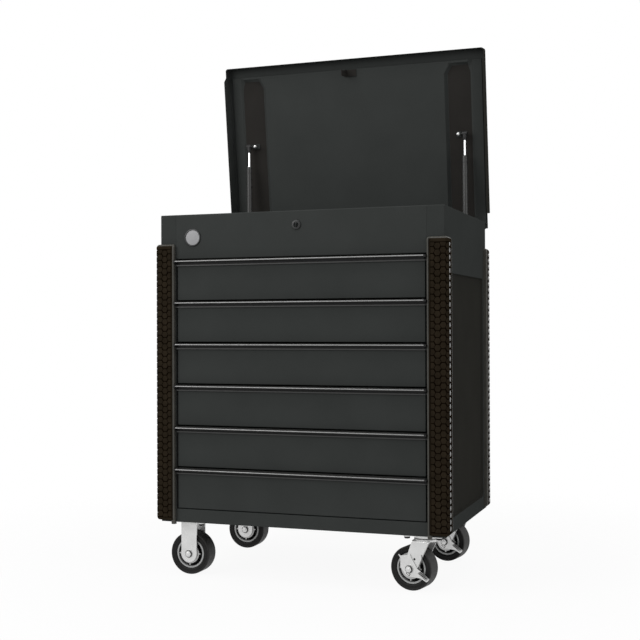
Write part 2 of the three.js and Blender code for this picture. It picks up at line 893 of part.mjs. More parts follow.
// The strut's bracket in the till: a foot on the rear wall, an ear, and the stud through the strut's eye
function strutBracket() {
  const ear = strutPlane + tubeRadius + earGap;
  const wall = rearStop;
  const foot = block(ear, ear + footWidth, wall - earThickness, wall, strutFootZ - footHeight / 2,
    strutFootZ + footHeight / 2);
  const tab = block(ear, ear + earThickness, strutFootY - eyeRadius, wall, strutFootZ - eyeRadius,
    strutFootZ + eyeRadius);
  const inner = strutPlane - eyeHalfThickness - seam;
  const stud = turnedX([
    [0, inner - pivotHeadLength],
    [pivotHeadRadius, inner - pivotHeadLength],
    [pivotHeadRadius, inner],
    [pivotRadius, inner],
    [pivotRadius, ear + earThickness / 2],
    [0, ear + earThickness / 2],
  ], knuckleSteps).translate([0, strutFootY, strutFootZ]);
  return foot.add(tab).add(stud);
}

// The lid's bracket: a foot in the channel, an ear, and the stud that ends at the strut's socket
function lidStud() {
  const height = lidTop - studDrop;
  const y = hingeY - studReach;
  const ear = strutPlane - lidEarInset;
  const top = skinUnder - 2 * seam - lidSheet;
  const foot = block(ear - lidFootWidth, ear, y - lidEarWidth / 2, y + lidEarWidth / 2,
    top - earThickness, top);
  const tab = new THREE.Shape();
  tab.absarc(y, height, eyeRadius, Math.PI, 2 * Math.PI, false);
  tab.lineTo(y + lidEarWidth / 2, top - earThickness / 2);
  tab.lineTo(y - lidEarWidth / 2, top - earThickness / 2);
  const tip = strutPlane - socketFlat - seam;
  const stud = turnedX([
    [0, ear - studHeadLength - earThickness],
    [pivotHeadRadius, ear - studHeadLength - earThickness],
    [pivotHeadRadius, ear - earThickness / 2],
    [pivotRadius, ear - earThickness / 2],
    [pivotRadius, tip],
    [0, tip],
  ], knuckleSteps).translate([0, y, height]);
  return foot.add(alongX(tab, ear - earThickness, ear)).add(stud);
}

// The lock's housing and its key plug, about the Y axis, with the till's front face at y = 0
function lockHousing() {
  const bore = plugRadius + plugClearance;
  return turnedY([
    [bore, -lockRimThickness - seam],
    [lockRimRadius - sheet, -lockRimThickness - seam],
    [lockRimRadius, -lockRimThickness - seam + sheet],
    [lockRimRadius, -seam],
    [lockBarrelRadius, -seam],
    [lockBarrelRadius, lockLength],
    [bore, lockLength],
  ], barrelSteps);
}

function lockPlug() {
  const nose = -lockRimThickness - seam - plugProud;
  const tail = lockLength + camGap;
  const plug = turnedY([
    [0, nose],
    [plugRadius, nose],
    [plugRadius, tail + camThickness],
    [0, tail + camThickness],
  ], barrelSteps);
  const slot = block(-keySlotWidth / 2, keySlotWidth / 2, nose - overrun, nose + keySlotDepth,
    -keySlotLength / 2, keySlotLength / 2);
  const cam = roundedBox(-camWidth / 2, camWidth / 2, -camWidth / 2, camLength, camWidth / 4);
  return plug.subtract(slot).add(alongY(cam, tail, tail + camThickness));
}

// Caster pieces, with the wheel's axis along Y and the plate's top face at z = plateTop
const plateTop = base - seam;

function casterPlate() {
  const plan = roundedBox(-plateLength / 2, plateLength / 2, -plateDepth / 2, plateDepth / 2, plateCorner);
  return alongZ(plan, plateTop - plateThickness, plateTop, 3);
}

function axleBore() {
  const far = legInner + legThickness + overrun;
  return alongY(disc(0, wheelRadius, axleHole), -far, far, knuckleSteps / 2);
}

// Both legs of a fork: round at the axle, straight up to the crown
function forkLegs(axleX, backX, frontX, crown) {
  const leg = new THREE.Shape();
  leg.absarc(axleX, wheelRadius, legHalfWidth, Math.PI, 2 * Math.PI, false);
  leg.lineTo(frontX, crown);
  leg.lineTo(backX, crown);
  const pair = alongY(leg, legInner, legInner + legThickness, roundSteps * 2);
  return pair.add(alongY(leg, -legInner - legThickness, -legInner, roundSteps * 2));
}

function rigidFork() {
  const crown = plateTop - plateThickness - rigidCrown;
  const reach = legInner + legThickness;
  return casterPlate()
    .add(forkLegs(0, -legHalfWidth, legHalfWidth, crown + sheet))
    .add(block(-legHalfWidth, legHalfWidth, -reach, reach, crown, plateTop - plateThickness / 2))
    .subtract(axleBore());
}

const upperRaceBottom = plateTop - plateThickness - upperRace;
const forkTop = upperRaceBottom - raceGap;
const crownTop = forkTop - lowerRace;
const crownBottom = crownTop - crownThickness;

// The swivel plate with its upper race and the king pin that is headed over below the fork
function swivelPlate() {
  const headTop = crownBottom - seam;
  const race = turnedZ([
    [0, plateTop - plateThickness / 2],
    [raceRadius, plateTop - plateThickness / 2],
    [raceRadius, upperRaceBottom + raceTaper],
    [raceRadius - raceTaper, upperRaceBottom],
    [kingPinRadius, upperRaceBottom],
    [kingPinRadius, headTop],
    [kingPinHead, headTop],
    [kingPinHead, headTop - kingPinHeadLength / 2],
    [kingPinHead - raceTaper, headTop - kingPinHeadLength],
    [0, headTop - kingPinHeadLength],
  ], raceSteps);
  return casterPlate().add(race);
}

// The raked fork that swivels on the king pin, with its lower race
function swivelFork() {
  const bore = kingPinRadius + kingPinClearance;
  const race = turnedZ([
    [bore, crownBottom],
    [raceRadius - 2 * raceTaper, crownBottom],
    [raceRadius, crownTop],
    [raceRadius, forkTop - sheet],
    [raceRadius - raceTaper, forkTop],
    [bore, forkTop],
  ], raceSteps);
  const reach = legInner + legThickness;
  const crown = block(-crownBack, crownFront, -reach, reach, crownBottom, crownTop);
  const hole = turnedZ([
    [0, crownBottom - overrun], [bore, crownBottom - overrun],
    [bore, forkTop + overrun], [0, forkTop + overrun],
  ], raceSteps);
  return forkLegs(-trail, -crownBack, crownFront, crownTop)
    .add(crown)
    .subtract(axleBore().translate([-trail, 0, 0]))
    .add(race)
    .subtract(hole);
}

// An axle bolt about the Y axis, with a washer and a hexagon head in front and the same with a nut behind
function axleBolt(headGap) {
  const barrel = (radius, from, to, steps) => turnedY([
    [0, from], [radius, from], [radius, to], [0, to],
  ], steps);
  const outer = legInner + legThickness;
  const near = -outer - headGap;
  const far = outer + seam;
  const end = axleHeadLength - axleWasherThickness / 2;
  return barrel(axleRadius, near - end, far + end, knuckleSteps)
    .add(barrel(axleWasherRadius, near - axleWasherThickness, near, barrelSteps))
    .add(barrel(axleWasherRadius, far, far + axleWasherThickness, barrelSteps))
    .add(barrel(axleHeadRadius, near - axleHeadLength, near - axleWasherThickness / 2, headSides))
    .add(barrel(axleHeadRadius, far + axleWasherThickness / 2, far + axleHeadLength, headSides));
}

// The brake lever that rocks on the swivel caster's axle: a flat plate from its pointed heel over the leg
// to its toe, and a pedal folded out along the toe's upper edge
function brakeLever() {
  const near = -legInner - legThickness - leverGap - leverThickness;
  const far = near + leverThickness;
  const shares = [...heelShares, ...shoulderShares, toeRootShares, toeTipShares, ...underShares];
  const plate = outline(shares.map(([x, z]) => [x * leverReach, z * leverReach]));
  const root = new THREE.Vector2(...toeRootShares).multiplyScalar(leverReach);
  const edge = new THREE.Vector2(...toeTipShares).multiplyScalar(leverReach).sub(root);
  const pedal = block(0, edge.length(), near - pedalDepth, far, -leverThickness, 0)
    .rotate([0, -THREE.MathUtils.radToDeg(edge.angle()), 0])
    .translate([root.x, 0, root.y]);
  const bore = alongY(disc(0, 0, leverBore), near - overrun, far + overrun, knuckleSteps / 2);
  return alongY(plate, near, far).add(pedal).subtract(bore);
}

// Wheel pieces about the Y axis. The tyre's flats are at its radius, and it stands on one of them
function tyre() {
  const flatShare = 1 / Math.cos(Math.PI / wheelSteps);
  const tyreInnerRadius = rimRadius + tyreClearance;
  const profile = [
    [tyreInnerRadius, -rimHalfWidth],
    [tyreInnerRadius + tyreGroove, -tyreHalfWidth + tyreGroove],
    [wheelRadius - tyreShoulder, -tyreHalfWidth],
    [wheelRadius, -tyreHalfWidth + tyreShoulder],
    [wheelRadius, tyreHalfWidth - tyreShoulder],
    [wheelRadius - tyreShoulder, tyreHalfWidth],
    [tyreInnerRadius + tyreGroove, tyreHalfWidth - tyreGroove],
    [tyreInnerRadius, rimHalfWidth],
  ];
  const outward = profile.map(([radius, height]) => [radius * flatShare, height]);
  return solid(turned(outward, wheelSteps).rotateY(Math.PI / wheelSteps));
}

function wheelCore() {
  const rimInner = rimRadius - rimThickness;
  const rimEdge = rimHalfWidth + tyreGroove;
  return turnedY([
    [hubBore, -hubHalfLength],
    [hubFlangeRadius, -hubHalfLength],
    [hubFlangeRadius, -hubHalfLength + hubFlangeThickness],
    [hubRadius, -hubHalfLength + hubFlangeThickness],
    [hubRadius, -webHalfThickness],
    [rimInner, -webHalfThickness],
    [rimInner + tyreGroove, -rimEdge],
    [rimRadius, -rimEdge],
    [rimRadius, rimEdge],
    [rimInner + tyreGroove, rimEdge],
    [rimInner, webHalfThickness],
    [hubRadius, webHalfThickness],
    [hubRadius, hubHalfLength - hubFlangeThickness],
    [hubFlangeRadius, hubHalfLength - hubFlangeThickness],
    [hubFlangeRadius, hubHalfLength],
    [hubBore, hubHalfLength],
  ], coreSteps);
}

// The whole cart, centred on its own length from the pulls to the open lid
const cart = new THREE.Group();
cart.position.y = -(frontReach + rearReach) / 2;

// Cabinet
cart.add(
  piece("back_panel", backPanel(), paint()),
  piece("till_front", tillFront(), paint()),
  piece("till_floor", tillFloorPan(), paint()),
  piece("base_pan", basePan(), paint()),
);
const sideShape = sidePanel();
const rackShape = slideRack();
const bracketShape = strutBracket();
for (const { word, sign } of sides) {
  cart.add(
    mirrored(piece(word + "_side_panel", sideShape, paint()), sign),
    mirrored(piece("slide_rack_" + word, rackShape, zinc()), sign),
    mirrored(piece("strut_bracket_" + word, bracketShape, zinc()), sign),
  );
}

// Bumpers on the four corners
const bumperShape = bumper();
for (const { word, sign } of sides) {
  const frontBumper = mirrored(piece("bumper_front_" + word, bumperShape, bumperRubber()), sign);
  const rearBumper = mirrored(piece("bumper_rear_" + word, bumperShape, bumperRubber()), sign);
  rearBumper.scale.y = -1;
  cart.add(frontBumper, rearBumper);
}

// Drawers, numbered from the top
const drawerShape = drawer();
const pullShape = pull();
for (let i = 0; i < drawerCount; i++) {
  const number = drawerCount - i;
  cart.add(
    placed(piece("drawer_" + number, drawerShape, paint()), 0, 0, drawerBottom(i)),
    placed(piece("drawer_pull_" + number, pullShape, pullMetal()), 0, 0, drawerBottom(i)),
  );
}

// Lock
const lockHeight = rim - lockDrop;
cart.add(
  placed(piece("lock_housing", lockHousing(), blackMetal()), 0, front, lockHeight),
  placed(piece("lock_plug", lockPlug(), chrome()), 0, front, lockHeight),
);

// Hinge, and the lid that turns about it from its closed place
cart.add(
  placed(piece("hinge_leaf_body", hingeLeaf(false), paint()), 0, hingeY, hingeZ),
  placed(piece("hinge_pin", hingePin(), zinc()), 0, hingeY, hingeZ),
);
const lid = new THREE.Group();
lid.position.set(0, hingeY, hingeZ);
lid.rotation.x = -openAngle;
lid.add(piece("hinge_leaf_lid", hingeLeaf(true), paint()));
const lidClosed = new THREE.Group();
lidClosed.position.set(0, -hingeY, -hingeZ);
lidClosed.add(
  piece("lid_shell", lidShell(), paint()),
  piece("lid_liner", lidLiner(), paint()),
  piece("lid_striker", lidStriker(), zinc()),
);
const studShape = lidStud();
for (const { word, sign } of sides) {
  lidClosed.add(mirrored(piece("lid_stud_" + word, studShape, zinc()), sign));
}
lid.add(lidClosed);
cart.add(lid);

// Gas struts, leaning from their feet to the open lid's studs
const cylinderShape = strutCylinder();
const rodShape = strutRod();
for (const { word, sign } of sides) {
  const strut = new THREE.Group();
  strut.position.set(sign * strutPlane, strutFootY, strutFootZ);
  strut.rotation.x = -strutLean;
  strut.add(
    piece("strut_cylinder_" + word, cylinderShape, blackMetal()),
    piece("strut_rod_" + word, rodShape, chrome()),
  );
  cart.add(strut);
}

// Casters: rigid on the left, swivelling with a brake on the right
const ends = [
  { word: "front", sign: -1 },
  { word: "rear", sign: 1 },
];
const tyreShape = tyre();
const coreShape = wheelCore();
const rigidForkShape = rigidFork();
const swivelPlateShape = swivelPlate();
const swivelForkShape = swivelFork();
const leverShape = brakeLever();
const rigidAxleShape = axleBolt(seam);
const swivelAxleShape = axleBolt(leverGap + leverThickness + washerGap);

function wheel(caster, word) {
  caster.add(
    placed(piece("tyre_" + word, tyreShape, tyreRubber()), 0, 0, 0),
    placed(piece("wheel_core_" + word, coreShape, wheelPlastic()), 0, 0, 0),
  );
}

for (const { word, sign } of ends) {
  const rigid = new THREE.Group();
  rigid.position.set(-casterX, sign * casterY, 0);
  const rigidWheel = new THREE.Group();
  rigidWheel.position.z = wheelRadius;
  rigidWheel.add(piece("axle_rigid_" + word, rigidAxleShape, zinc()));
  wheel(rigidWheel, "rigid_" + word);
  rigid.add(piece("fork_rigid_" + word, rigidForkShape, zinc()), rigidWheel);

  const swivel = new THREE.Group();
  swivel.position.set(casterX, sign * casterY, 0);
  swivel.add(piece("plate_swivel_" + word, swivelPlateShape, zinc()));
  const turning = new THREE.Group();
  turning.rotation.z = swivelTurn;
  const swivelWheel = new THREE.Group();
  swivelWheel.position.set(-trail, 0, wheelRadius);
  swivelWheel.add(
    piece("axle_swivel_" + word, swivelAxleShape, zinc()),
    piece("brake_lever_" + word, leverShape, zinc()),
  );
  wheel(swivelWheel, "swivel_" + word);
  turning.add(piece("fork_swivel_" + word, swivelForkShape, zinc()), swivelWheel);
  swivel.add(turning);
  cart.add(rigid, swivel);
}

export default cart;
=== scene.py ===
import json
import math

import bmesh
import bpy
from mathutils import Matrix, Vector

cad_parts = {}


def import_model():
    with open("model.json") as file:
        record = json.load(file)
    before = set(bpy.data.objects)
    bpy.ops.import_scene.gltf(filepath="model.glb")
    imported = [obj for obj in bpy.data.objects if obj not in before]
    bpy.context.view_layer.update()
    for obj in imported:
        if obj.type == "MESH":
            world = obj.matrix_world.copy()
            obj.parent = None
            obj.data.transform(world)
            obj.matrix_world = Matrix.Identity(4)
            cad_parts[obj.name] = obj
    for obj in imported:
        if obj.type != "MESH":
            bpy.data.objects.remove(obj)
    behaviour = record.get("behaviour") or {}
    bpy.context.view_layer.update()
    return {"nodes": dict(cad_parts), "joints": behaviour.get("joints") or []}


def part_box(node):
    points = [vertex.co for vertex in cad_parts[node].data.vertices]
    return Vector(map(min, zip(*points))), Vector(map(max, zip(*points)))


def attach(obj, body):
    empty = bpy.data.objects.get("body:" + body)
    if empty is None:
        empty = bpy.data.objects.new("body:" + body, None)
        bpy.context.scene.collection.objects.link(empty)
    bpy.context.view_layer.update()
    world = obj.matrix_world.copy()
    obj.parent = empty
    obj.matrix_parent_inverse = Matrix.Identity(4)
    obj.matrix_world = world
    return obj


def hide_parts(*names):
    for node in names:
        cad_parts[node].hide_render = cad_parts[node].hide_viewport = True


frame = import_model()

mm = 0.001
weld = 0.00001

# Places read from the frame
panel_low, panel_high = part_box("right_side_panel")
front, back = panel_low.y, panel_high.y
side = panel_high.x
base, rim = panel_low.z, panel_high.z
return_edge = panel_low.x
till_low, till_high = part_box("till_front")
pan_low, pan_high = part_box("base_pan")
back_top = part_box("back_panel")[1].z
joints = {joint["name"]: joint for joint in frame["joints"]}
hinge = Vector(joints["lid_hinge"]["pos_m"])
open_angle = math.radians(joints["lid_hinge"]["range_deg"][1])
axle_line = joints["wheel_swivel_front_spin"]["axis"]
swivel_turn = -math.atan2(axle_line[0], axle_line[1])
hands = {"left": -1, "right": 1}
ends = {"front": 1, "rear": -1}
drawer_numbers = [str(number) for number in range(1, 7)]
origin = Vector((0, 0, 0))

# Sheet metal
sheet = 1.5 * mm
thin_sheet = 1.2 * mm
seam = 0.3 * mm
bend = 3 * mm
rim_flange = 20 * mm
rim_lip = 10 * mm


# Forms: points and faces that grow step by step, each face with the number of its material
def spot(axis, a, b, along):
    """The point at (a, b) in the plane across an axis, and at a place along it."""
    return {"X": (along, a, b), "Y": (a, along, b), "Z": (a, b, along)}[axis]


class Form:
    def __init__(self):
        self.points = []
        self.faces = []
        self.looks = []

    def add(self, points, faces, look=0):
        first = len(self.points)
        self.points.extend(Vector(point) for point in points)
        self.faces.extend([first + index for index in face] for face in faces)
        self.looks.extend([look] * len(faces))
        return self

    def loft(self, loops, look=0, closed=True, start=True, end=True):
        """Faces between loops of like length; look is a number, or a function of the place along the loop."""
        count = len(loops[0])
        points = [point for loop in loops for point in loop]
        first = len(self.points)
        self.add(points, [])
        for row in range(len(loops) - 1):
            for i in range(count if closed else count - 1):
                j = (i + 1) % count
                near, far = first + row * count, first + (row + 1) * count
                self.faces.append([near + i, near + j, far + j, far + i])
                self.looks.append(look(i) if callable(look) else look)
        plain = look(0) if callable(look) else look
        last = first + (len(loops) - 1) * count
        if start:
            self.faces.append([first + i for i in reversed(range(count))])
            self.looks.append(plain)
        if end:
            self.faces.append([last + i for i in range(count)])
            self.looks.append(plain)
        return self

    def band(self, loops, look=0, end=False):
        """A loft that is open at its start."""
        return self.loft(loops, look, start=False, end=end)

    def strip(self, loops, look=0):
        """A loft between open lines."""
        return self.loft(loops, look, closed=False, start=False, end=False)

    def prism(self, outline, axis, low, high, look=0):
        return self.loft([[spot(axis, a, b, along) for a, b in outline] for along in (low, high)], look)

    def box(self, x, y, z, look=0):
        return self.prism([(x[0], y[0]), (x[1], y[0]), (x[1], y[1]), (x[0], y[1])], "Z", z[0], z[1], look)

    def turn(self, profile, axis, centre, steps=48, look=0, ring=False):
        """Turns (radius, along) points; a ring's profile closes on itself, and look may follow the row."""
        angles = [2 * math.pi * i / steps for i in range(steps)]
        loops = [
            [Vector(spot(axis, radius * math.cos(t), radius * math.sin(t), along)) + centre for t in angles]
            for radius, along in profile + (profile[:1] if ring else [])
        ]
        if not callable(look):
            return self.band(loops, look)
        for row in range(len(loops) - 1):
            self.band(loops[row:row + 2], look(row))
        return self

    def merge(self, other, matrix=Matrix.Identity(4)):
        """Another form's faces, moved by a matrix."""
        first = len(self.points)
        self.points.extend(matrix @ point for point in other.points)
        self.faces.extend([first + index for index in face] for face in other.faces)
        self.looks.extend(other.looks)
        return self


# Lines and outlines in a plane
def arc(a, b, radius, start, end, steps):
    turns = [math.radians(start + (end - start) * i / steps) for i in range(steps + 1)]
    return [(a + radius * math.cos(t), b + radius * math.sin(t)) for t in turns]


def curve(start, control, end, steps):
    points = []
    for i in range(steps + 1):
        t = i / steps
        points.append(tuple(
            (1 - t) ** 2 * p + 2 * t * (1 - t) * q + t ** 2 * r for p, q, r in zip(start, control, end)
        ))
    return points


def filleted(line, radius, steps=5):
    """An open line with each inner corner rounded."""
    points = [line[0]]
    for before, here, after in zip(line, line[1:], line[2:]):
        corner = Vector(here)
        into = (Vector(before) - corner).normalized()
        away = (Vector(after) - corner).normalized()
        half = into.angle(away) / 2
        reach = radius / math.tan(half)
        centre = corner + (into + away).normalized() * (radius / math.sin(half))
        start = corner + into * reach - centre
        end = corner + away * reach - centre
        turn = start.angle_signed(end)
        for i in range(steps + 1):
            points.append(tuple(centre + Matrix.Rotation(-turn * i / steps, 2) @ start))
    return points + [line[-1]]


def softened(outline, radius, steps=4):
    """A closed outline with round corners, smaller ones where its edges are short."""
    points = []
    for i, here in enumerate(outline):
        before, after = outline[i - 1], outline[(i + 1) % len(outline)]
        into, away = Vector(before) - Vector(here), Vector(after) - Vector(here)
        limit = 0.45 * min(into.length, away.length) * math.tan(into.angle(away) / 2)
        points += filleted([before, here, after], min(radius, limit), steps)[1:-1]
    return points


def offset(line, distance):
    """The same open line moved to its left."""
    def left(start, end):
        along = (Vector(line[end]) - Vector(line[start])).normalized()
        return Vector((-along.y, along.x))

    moved = []
    for i, here in enumerate(line):
        first = left(max(i - 1, 0), max(i, 1))
        last = left(min(i, len(line) - 2), min(i + 1, len(line) - 1))
        moved.append(tuple(Vector(here) + (first + last) * distance / (1 + first.dot(last))))
    return moved


def folded(line, thickness=sheet, radius=bend, steps=5):
    """The closed section of a folded sheet whose other face is to the line's left."""
    path = filleted(line, radius, steps) if radius else line
    return path + offset(path, thickness)[::-1]


def both_ways(half):
    """A profile from one half and its mirror image."""
    return [(radius, -along) for radius, along in half] + half[::-1]


def rounded(a0, a1, b0, b1, radius, steps=6):
    corners = [(a1, b0, -1, 1, -90), (a1, b1, -1, -1, 0), (a0, b1, 1, -1, 90), (a0, b0, 1, 1, 180)]
    points = []
    for a, b, inward_a, inward_b, start in corners:
        points += arc(a + inward_a * radius, b + inward_b * radius, radius, start, start + 90, steps)
    return points


# Pieces
bevel_from = math.radians(40)
sharp_from = math.radians(50)


def mesh_of(name, form, looks, inside):
    """A form's welded mesh, its faces turned outward: away from the inside point where one is given."""
    mesh = bpy.data.meshes.new(name)
    mesh.from_pydata([tuple(point) for point in form.points], [], form.faces)
    mesh.polygons.foreach_set("material_index", form.looks)
    for look in looks:
        mesh.materials.append(look)
    work = bmesh.new()
    work.from_mesh(mesh)
    bmesh.ops.remove_doubles(work, verts=work.verts, dist=weld)
    bmesh.ops.dissolve_degenerate(work, edges=work.edges, dist=weld)
    bmesh.ops.recalc_face_normals(work, faces=work.faces)
    if inside is not None:
        outward = sum(f.calc_area() * f.normal.dot(f.calc_center_median() - inside) for f in work.faces)
        if outward < 0:
            bmesh.ops.reverse_faces(work, faces=work.faces)
    work.to_mesh(mesh)
    work.free()
    return mesh


def thicken(made, shell, lining, bevel):
    """Gives a sheet its thickness, and then the edges their bevel, as plain geometry."""
    if shell:
        solidify = made.modifiers.new("thickness", "SOLIDIFY")
        solidify.thickness = shell
        solidify.offset = -1
        solidify.use_even_offset = True
        solidify.material_offset = lining
    if bevel:
        edges = made.modifiers.new("edges", "BEVEL")
        edges.width = bevel
        edges.segments = 2
        edges.limit_method = "ANGLE"
        edges.angle_limit = bevel_from
    shaped = bpy.data.meshes.new_from_object(made.evaluated_get(bpy.context.evaluated_depsgraph_get()))
    made.modifiers.clear()
    made.data = shaped
    shaped.name = made.name


def piece(name, form, body, looks, stands_for=(), shell=0, inside=None, bevel=0, place=None, lining=0):
    """One object from a form: given its thickness, its bevelled edges and its place, then its body."""
    made = bpy.data.objects.new(name, mesh_of(name, form, looks, inside))
    bpy.context.scene.collection.objects.link(made)
    if shell or bevel:
        thicken(made, shell, lining, bevel)
    if place is not None:
        made.data.transform(place)
        if place.determinant() < 0:
            made.data.flip_normals()
    made.data.shade_smooth()
    made.data.set_sharp_from_angle(angle=sharp_from)
    flats = made.modifiers.new("flats", "WEIGHTED_NORMAL")
    flats.keep_sharp = True
    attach(made, body)
    if stands_for:
        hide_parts(*stands_for)


def mirror(x=1, y=1):
    return Matrix.Diagonal((x, y, 1, 1))


def dress(look, *nodes):
    """A CAD node that shows keeps its shape and gets a better material."""
    for node in nodes:
        materials = frame["nodes"][node].data.materials
        materials.clear()
        materials.append(look)


# Shader nodes
def add_node(nodes, kind, values=None, operation=None):
    """A shader node with some of its inputs set."""
    made = nodes.new("ShaderNode" + kind)
    if operation:
        made.operation = operation
    for name, value in (values or {}).items():
        made.inputs[name].default_value = value
    return made


def new_material(name):
    material = bpy.data.materials.new(name)
    material.use_nodes = True
    return material, material.node_tree.nodes, material.node_tree.links


# Materials
noise_low, noise_high = 0.3, 0.7
grain_depth = 0.1 * mm
flake_scale = 260
coat_roughness = 0.15


def look(name, colour, roughness, metallic=0.0, specular=0.5, tone=0.12, tone_scale=9.0, spread=0.08,
         grain=0.0, grain_scale=900.0, stretch=(1, 1, 1), flakes=0.0, coat=0.0):
    """A finish whose tone drifts, whose gloss varies and whose surface has a grain."""
    material, nodes, links = new_material(name)
    shader = nodes["Principled BSDF"]
    shader.inputs["Metallic"].default_value = metallic
    shader.inputs["Specular IOR Level"].default_value = specular
    shader.inputs["Coat Weight"].default_value = coat
    shader.inputs["Coat Roughness"].default_value = coat_roughness
    mapping = add_node(nodes, "Mapping", {"Scale": stretch})
    links.new(add_node(nodes, "TexCoord").outputs["Object"], mapping.inputs["Vector"])

    def pattern(kind, output, values):
        made = add_node(nodes, kind, values)
        links.new(mapping.outputs["Vector"], made.inputs["Vector"])
        return made.outputs[output]

    def noise(scale, detail):
        return pattern("TexNoise", "Fac", {"Scale": scale, "Detail": detail})

    def between(value, low, high):
        made = add_node(nodes, "MapRange", {"From Min": noise_low, "From Max": noise_high,
                                            "To Min": low, "To Max": high})
        links.new(value, made.inputs["Value"])
        return made.outputs["Result"]

    shade = between(noise(tone_scale, 5.0), 1 - tone, 1 + tone)
    if flakes:
        cells = pattern("TexVoronoi", "Color", {"Scale": flake_scale})
        flaked = add_node(nodes, "Math", operation="MULTIPLY")
        links.new(shade, flaked.inputs[0])
        links.new(between(cells, 1 - flakes, 1 + flakes), flaked.inputs[1])
        shade = flaked.outputs["Value"]
    tint = add_node(nodes, "VectorMath", {0: colour}, "SCALE")
    links.new(shade, tint.inputs["Scale"])
    links.new(tint.outputs["Vector"], shader.inputs["Base Color"])
    gloss = between(noise(tone_scale * 6, 4.0), roughness - spread, roughness + spread)
    links.new(gloss, shader.inputs["Roughness"])
    if grain:
        bump = add_node(nodes, "Bump", {"Strength": grain, "Distance": grain_depth})
        links.new(noise(grain_scale, 3.0), bump.inputs["Height"])
        links.new(bump.outputs["Normal"], shader.inputs["Normal"])
    return material


def enamel(name, colour, specular=0.0, tone=0.05):
    return look(name, colour, 0.62, specular=specular, tone=tone, spread=0.05, grain=0.3, grain_scale=1100)


def moulding(name, colour, roughness, specular=0.0, tone=0.2, grain=0.2, grain_scale=1600):
    return look(name, colour, roughness, specular=specular, tone=tone, tone_scale=30, grain=grain,
                grain_scale=grain_scale)


def brushed(name, colour, roughness, metallic, stretch, tone, tone_scale=900, grain=0.1):
    return look(name, colour, roughness, metallic=metallic, stretch=(stretch, 1, 1), tone=tone,
                tone_scale=tone_scale, grain=grain, grain_scale=2200)


def plating(name, colour, roughness, metallic, tone, tone_scale, grain_scale):
    return look(name, colour, roughness, metallic=metallic, tone=tone, tone_scale=tone_scale, grain=0.05,
                grain_scale=grain_scale)


def black(name, value, roughness, specular, tone=0.2, tone_scale=60, grain=0.2):
    return look(name, (value, value, value), roughness, specular=specular, tone=tone, tone_scale=tone_scale,
                grain=grain)


def tyre_rubber(name, colour, specular):
    return look(name, colour, 0.55, specular=specular, tone=0.15, tone_scale=45, grain=0.4, grain_scale=1300)


paint = enamel("body_paint", (0.039, 0.042, 0.0405), 0.02)
side_paint = enamel("side_paint", (0.039, 0.042, 0.0405))
# Darker paint: painted shade on the side recess floors and on the lid's outer side skirts.
painted_recess_shade = enamel("painted_recess_shade", (0.027, 0.0265, 0.0235))
# Darker paint: painted shade on the lid liner's channel floors, and the striker's own dark paint.
painted_shade_and_dark_paint = enamel("lid_painted_shade_and_dark_paint", (0.0245, 0.0228, 0.021), 0.02, 0.08)
bumper_rubber = moulding("bumper_rubber", (0.0205, 0.0155, 0.01), 0.42, grain=0.3)
# Lighter rubber: painted highlight on the bumpers' lips, top band and foot.
bumper_painted_highlight = moulding("bumper_painted_highlight", (0.062, 0.06, 0.053), 0.4, 0.15, 0.12)
# Lighter, glossier rubber: painted sheen on the tops of the pads past the corner.
bumper_painted_sheen = moulding("bumper_painted_sheen", (0.08, 0.077, 0.07), 0.3, 0.45, 0.15)
# Near black: painted shade in the bumpers' grooves, field floors and pad gaps.
bumper_painted_shade = moulding("bumper_painted_shade", (0.005, 0.003, 0.0016), 0.7, grain_scale=900)
pull_grey = brushed("pull_grey", (0.028, 0.028, 0.027), 0.45, 0.3, 0.04, 0.15, 700, 0.15)
pull_bead = brushed("pull_bead", (0.19, 0.19, 0.188), 0.3, 1.0, 0.03, 0.1)
# Black: the pulls' end caps, and painted shade in the hollow under each bead.
black_caps_and_hollow_shade = black("black_caps_and_hollow_shade", 0.006, 0.5, 0.2)
zinc = plating("caster_zinc", (0.64, 0.64, 0.635), 0.34, 0.75, 0.05, 30, 120)
zinc_dull = plating("caster_zinc_dull", (0.42, 0.42, 0.415), 0.38, 0.75, 0.06, 40, 160)
# Dark zinc: painted shade on the axle washers' outer faces and the swivel legs' ribs.
zinc_painted_shade = plating("caster_zinc_shade", (0.12, 0.12, 0.118), 0.5, 0.5, 0.08, 60, 900)
bolt_black = black("bolt_black", 0.008, 0.4, 0.3, 0.15)
slide_steel = look("slide_steel", (0.55, 0.56, 0.57), 0.34, metallic=0.95, tone=0.1, tone_scale=30,
                   flakes=0.1, grain=0.1)
# Near black on the slide uprights: painted shade of the gap between the drawers and the posts.
rack_painted_shade = black("rack_painted_shade", 0.008, 0.55, 0.1, 0.15, 9)
chrome = look("chrome", (0.85, 0.86, 0.87), 0.08, metallic=1.0, tone=0.03, spread=0.03, stretch=(1, 1, 0.2),
              grain=0.03)
strut_grey = look("strut_grey", (0.03, 0.03, 0.029), 0.3, specular=0.35, tone=0.08, grain=0.1)
socket_black = black("socket_black", 0.01, 0.45, 0.3, 0.15, 9)
lock_black = look("lock_black", (0.006, 0.0065, 0.0065), 0.3, specular=0.3, tone=0.1, grain=0.1, coat=0.1)
lock_plug_black = look("lock_plug_black", (0.02, 0.021, 0.021), 0.28, metallic=0.8, tone=0.1, tone_scale=120,
                       grain=0.1)
tyre_tread = tyre_rubber("tyre_tread", (0.028, 0.0276, 0.0268), 0.2)
tyre_wall = tyre_rubber("tyre_wall", (0.013, 0.0128, 0.0124), 0.15)
core_grey = look("wheel_core_grey", (0.4, 0.405, 0.4), 0.42, metallic=0.2, specular=0.3, tone=0.08,
                 tone_scale=60, grain=0.2)
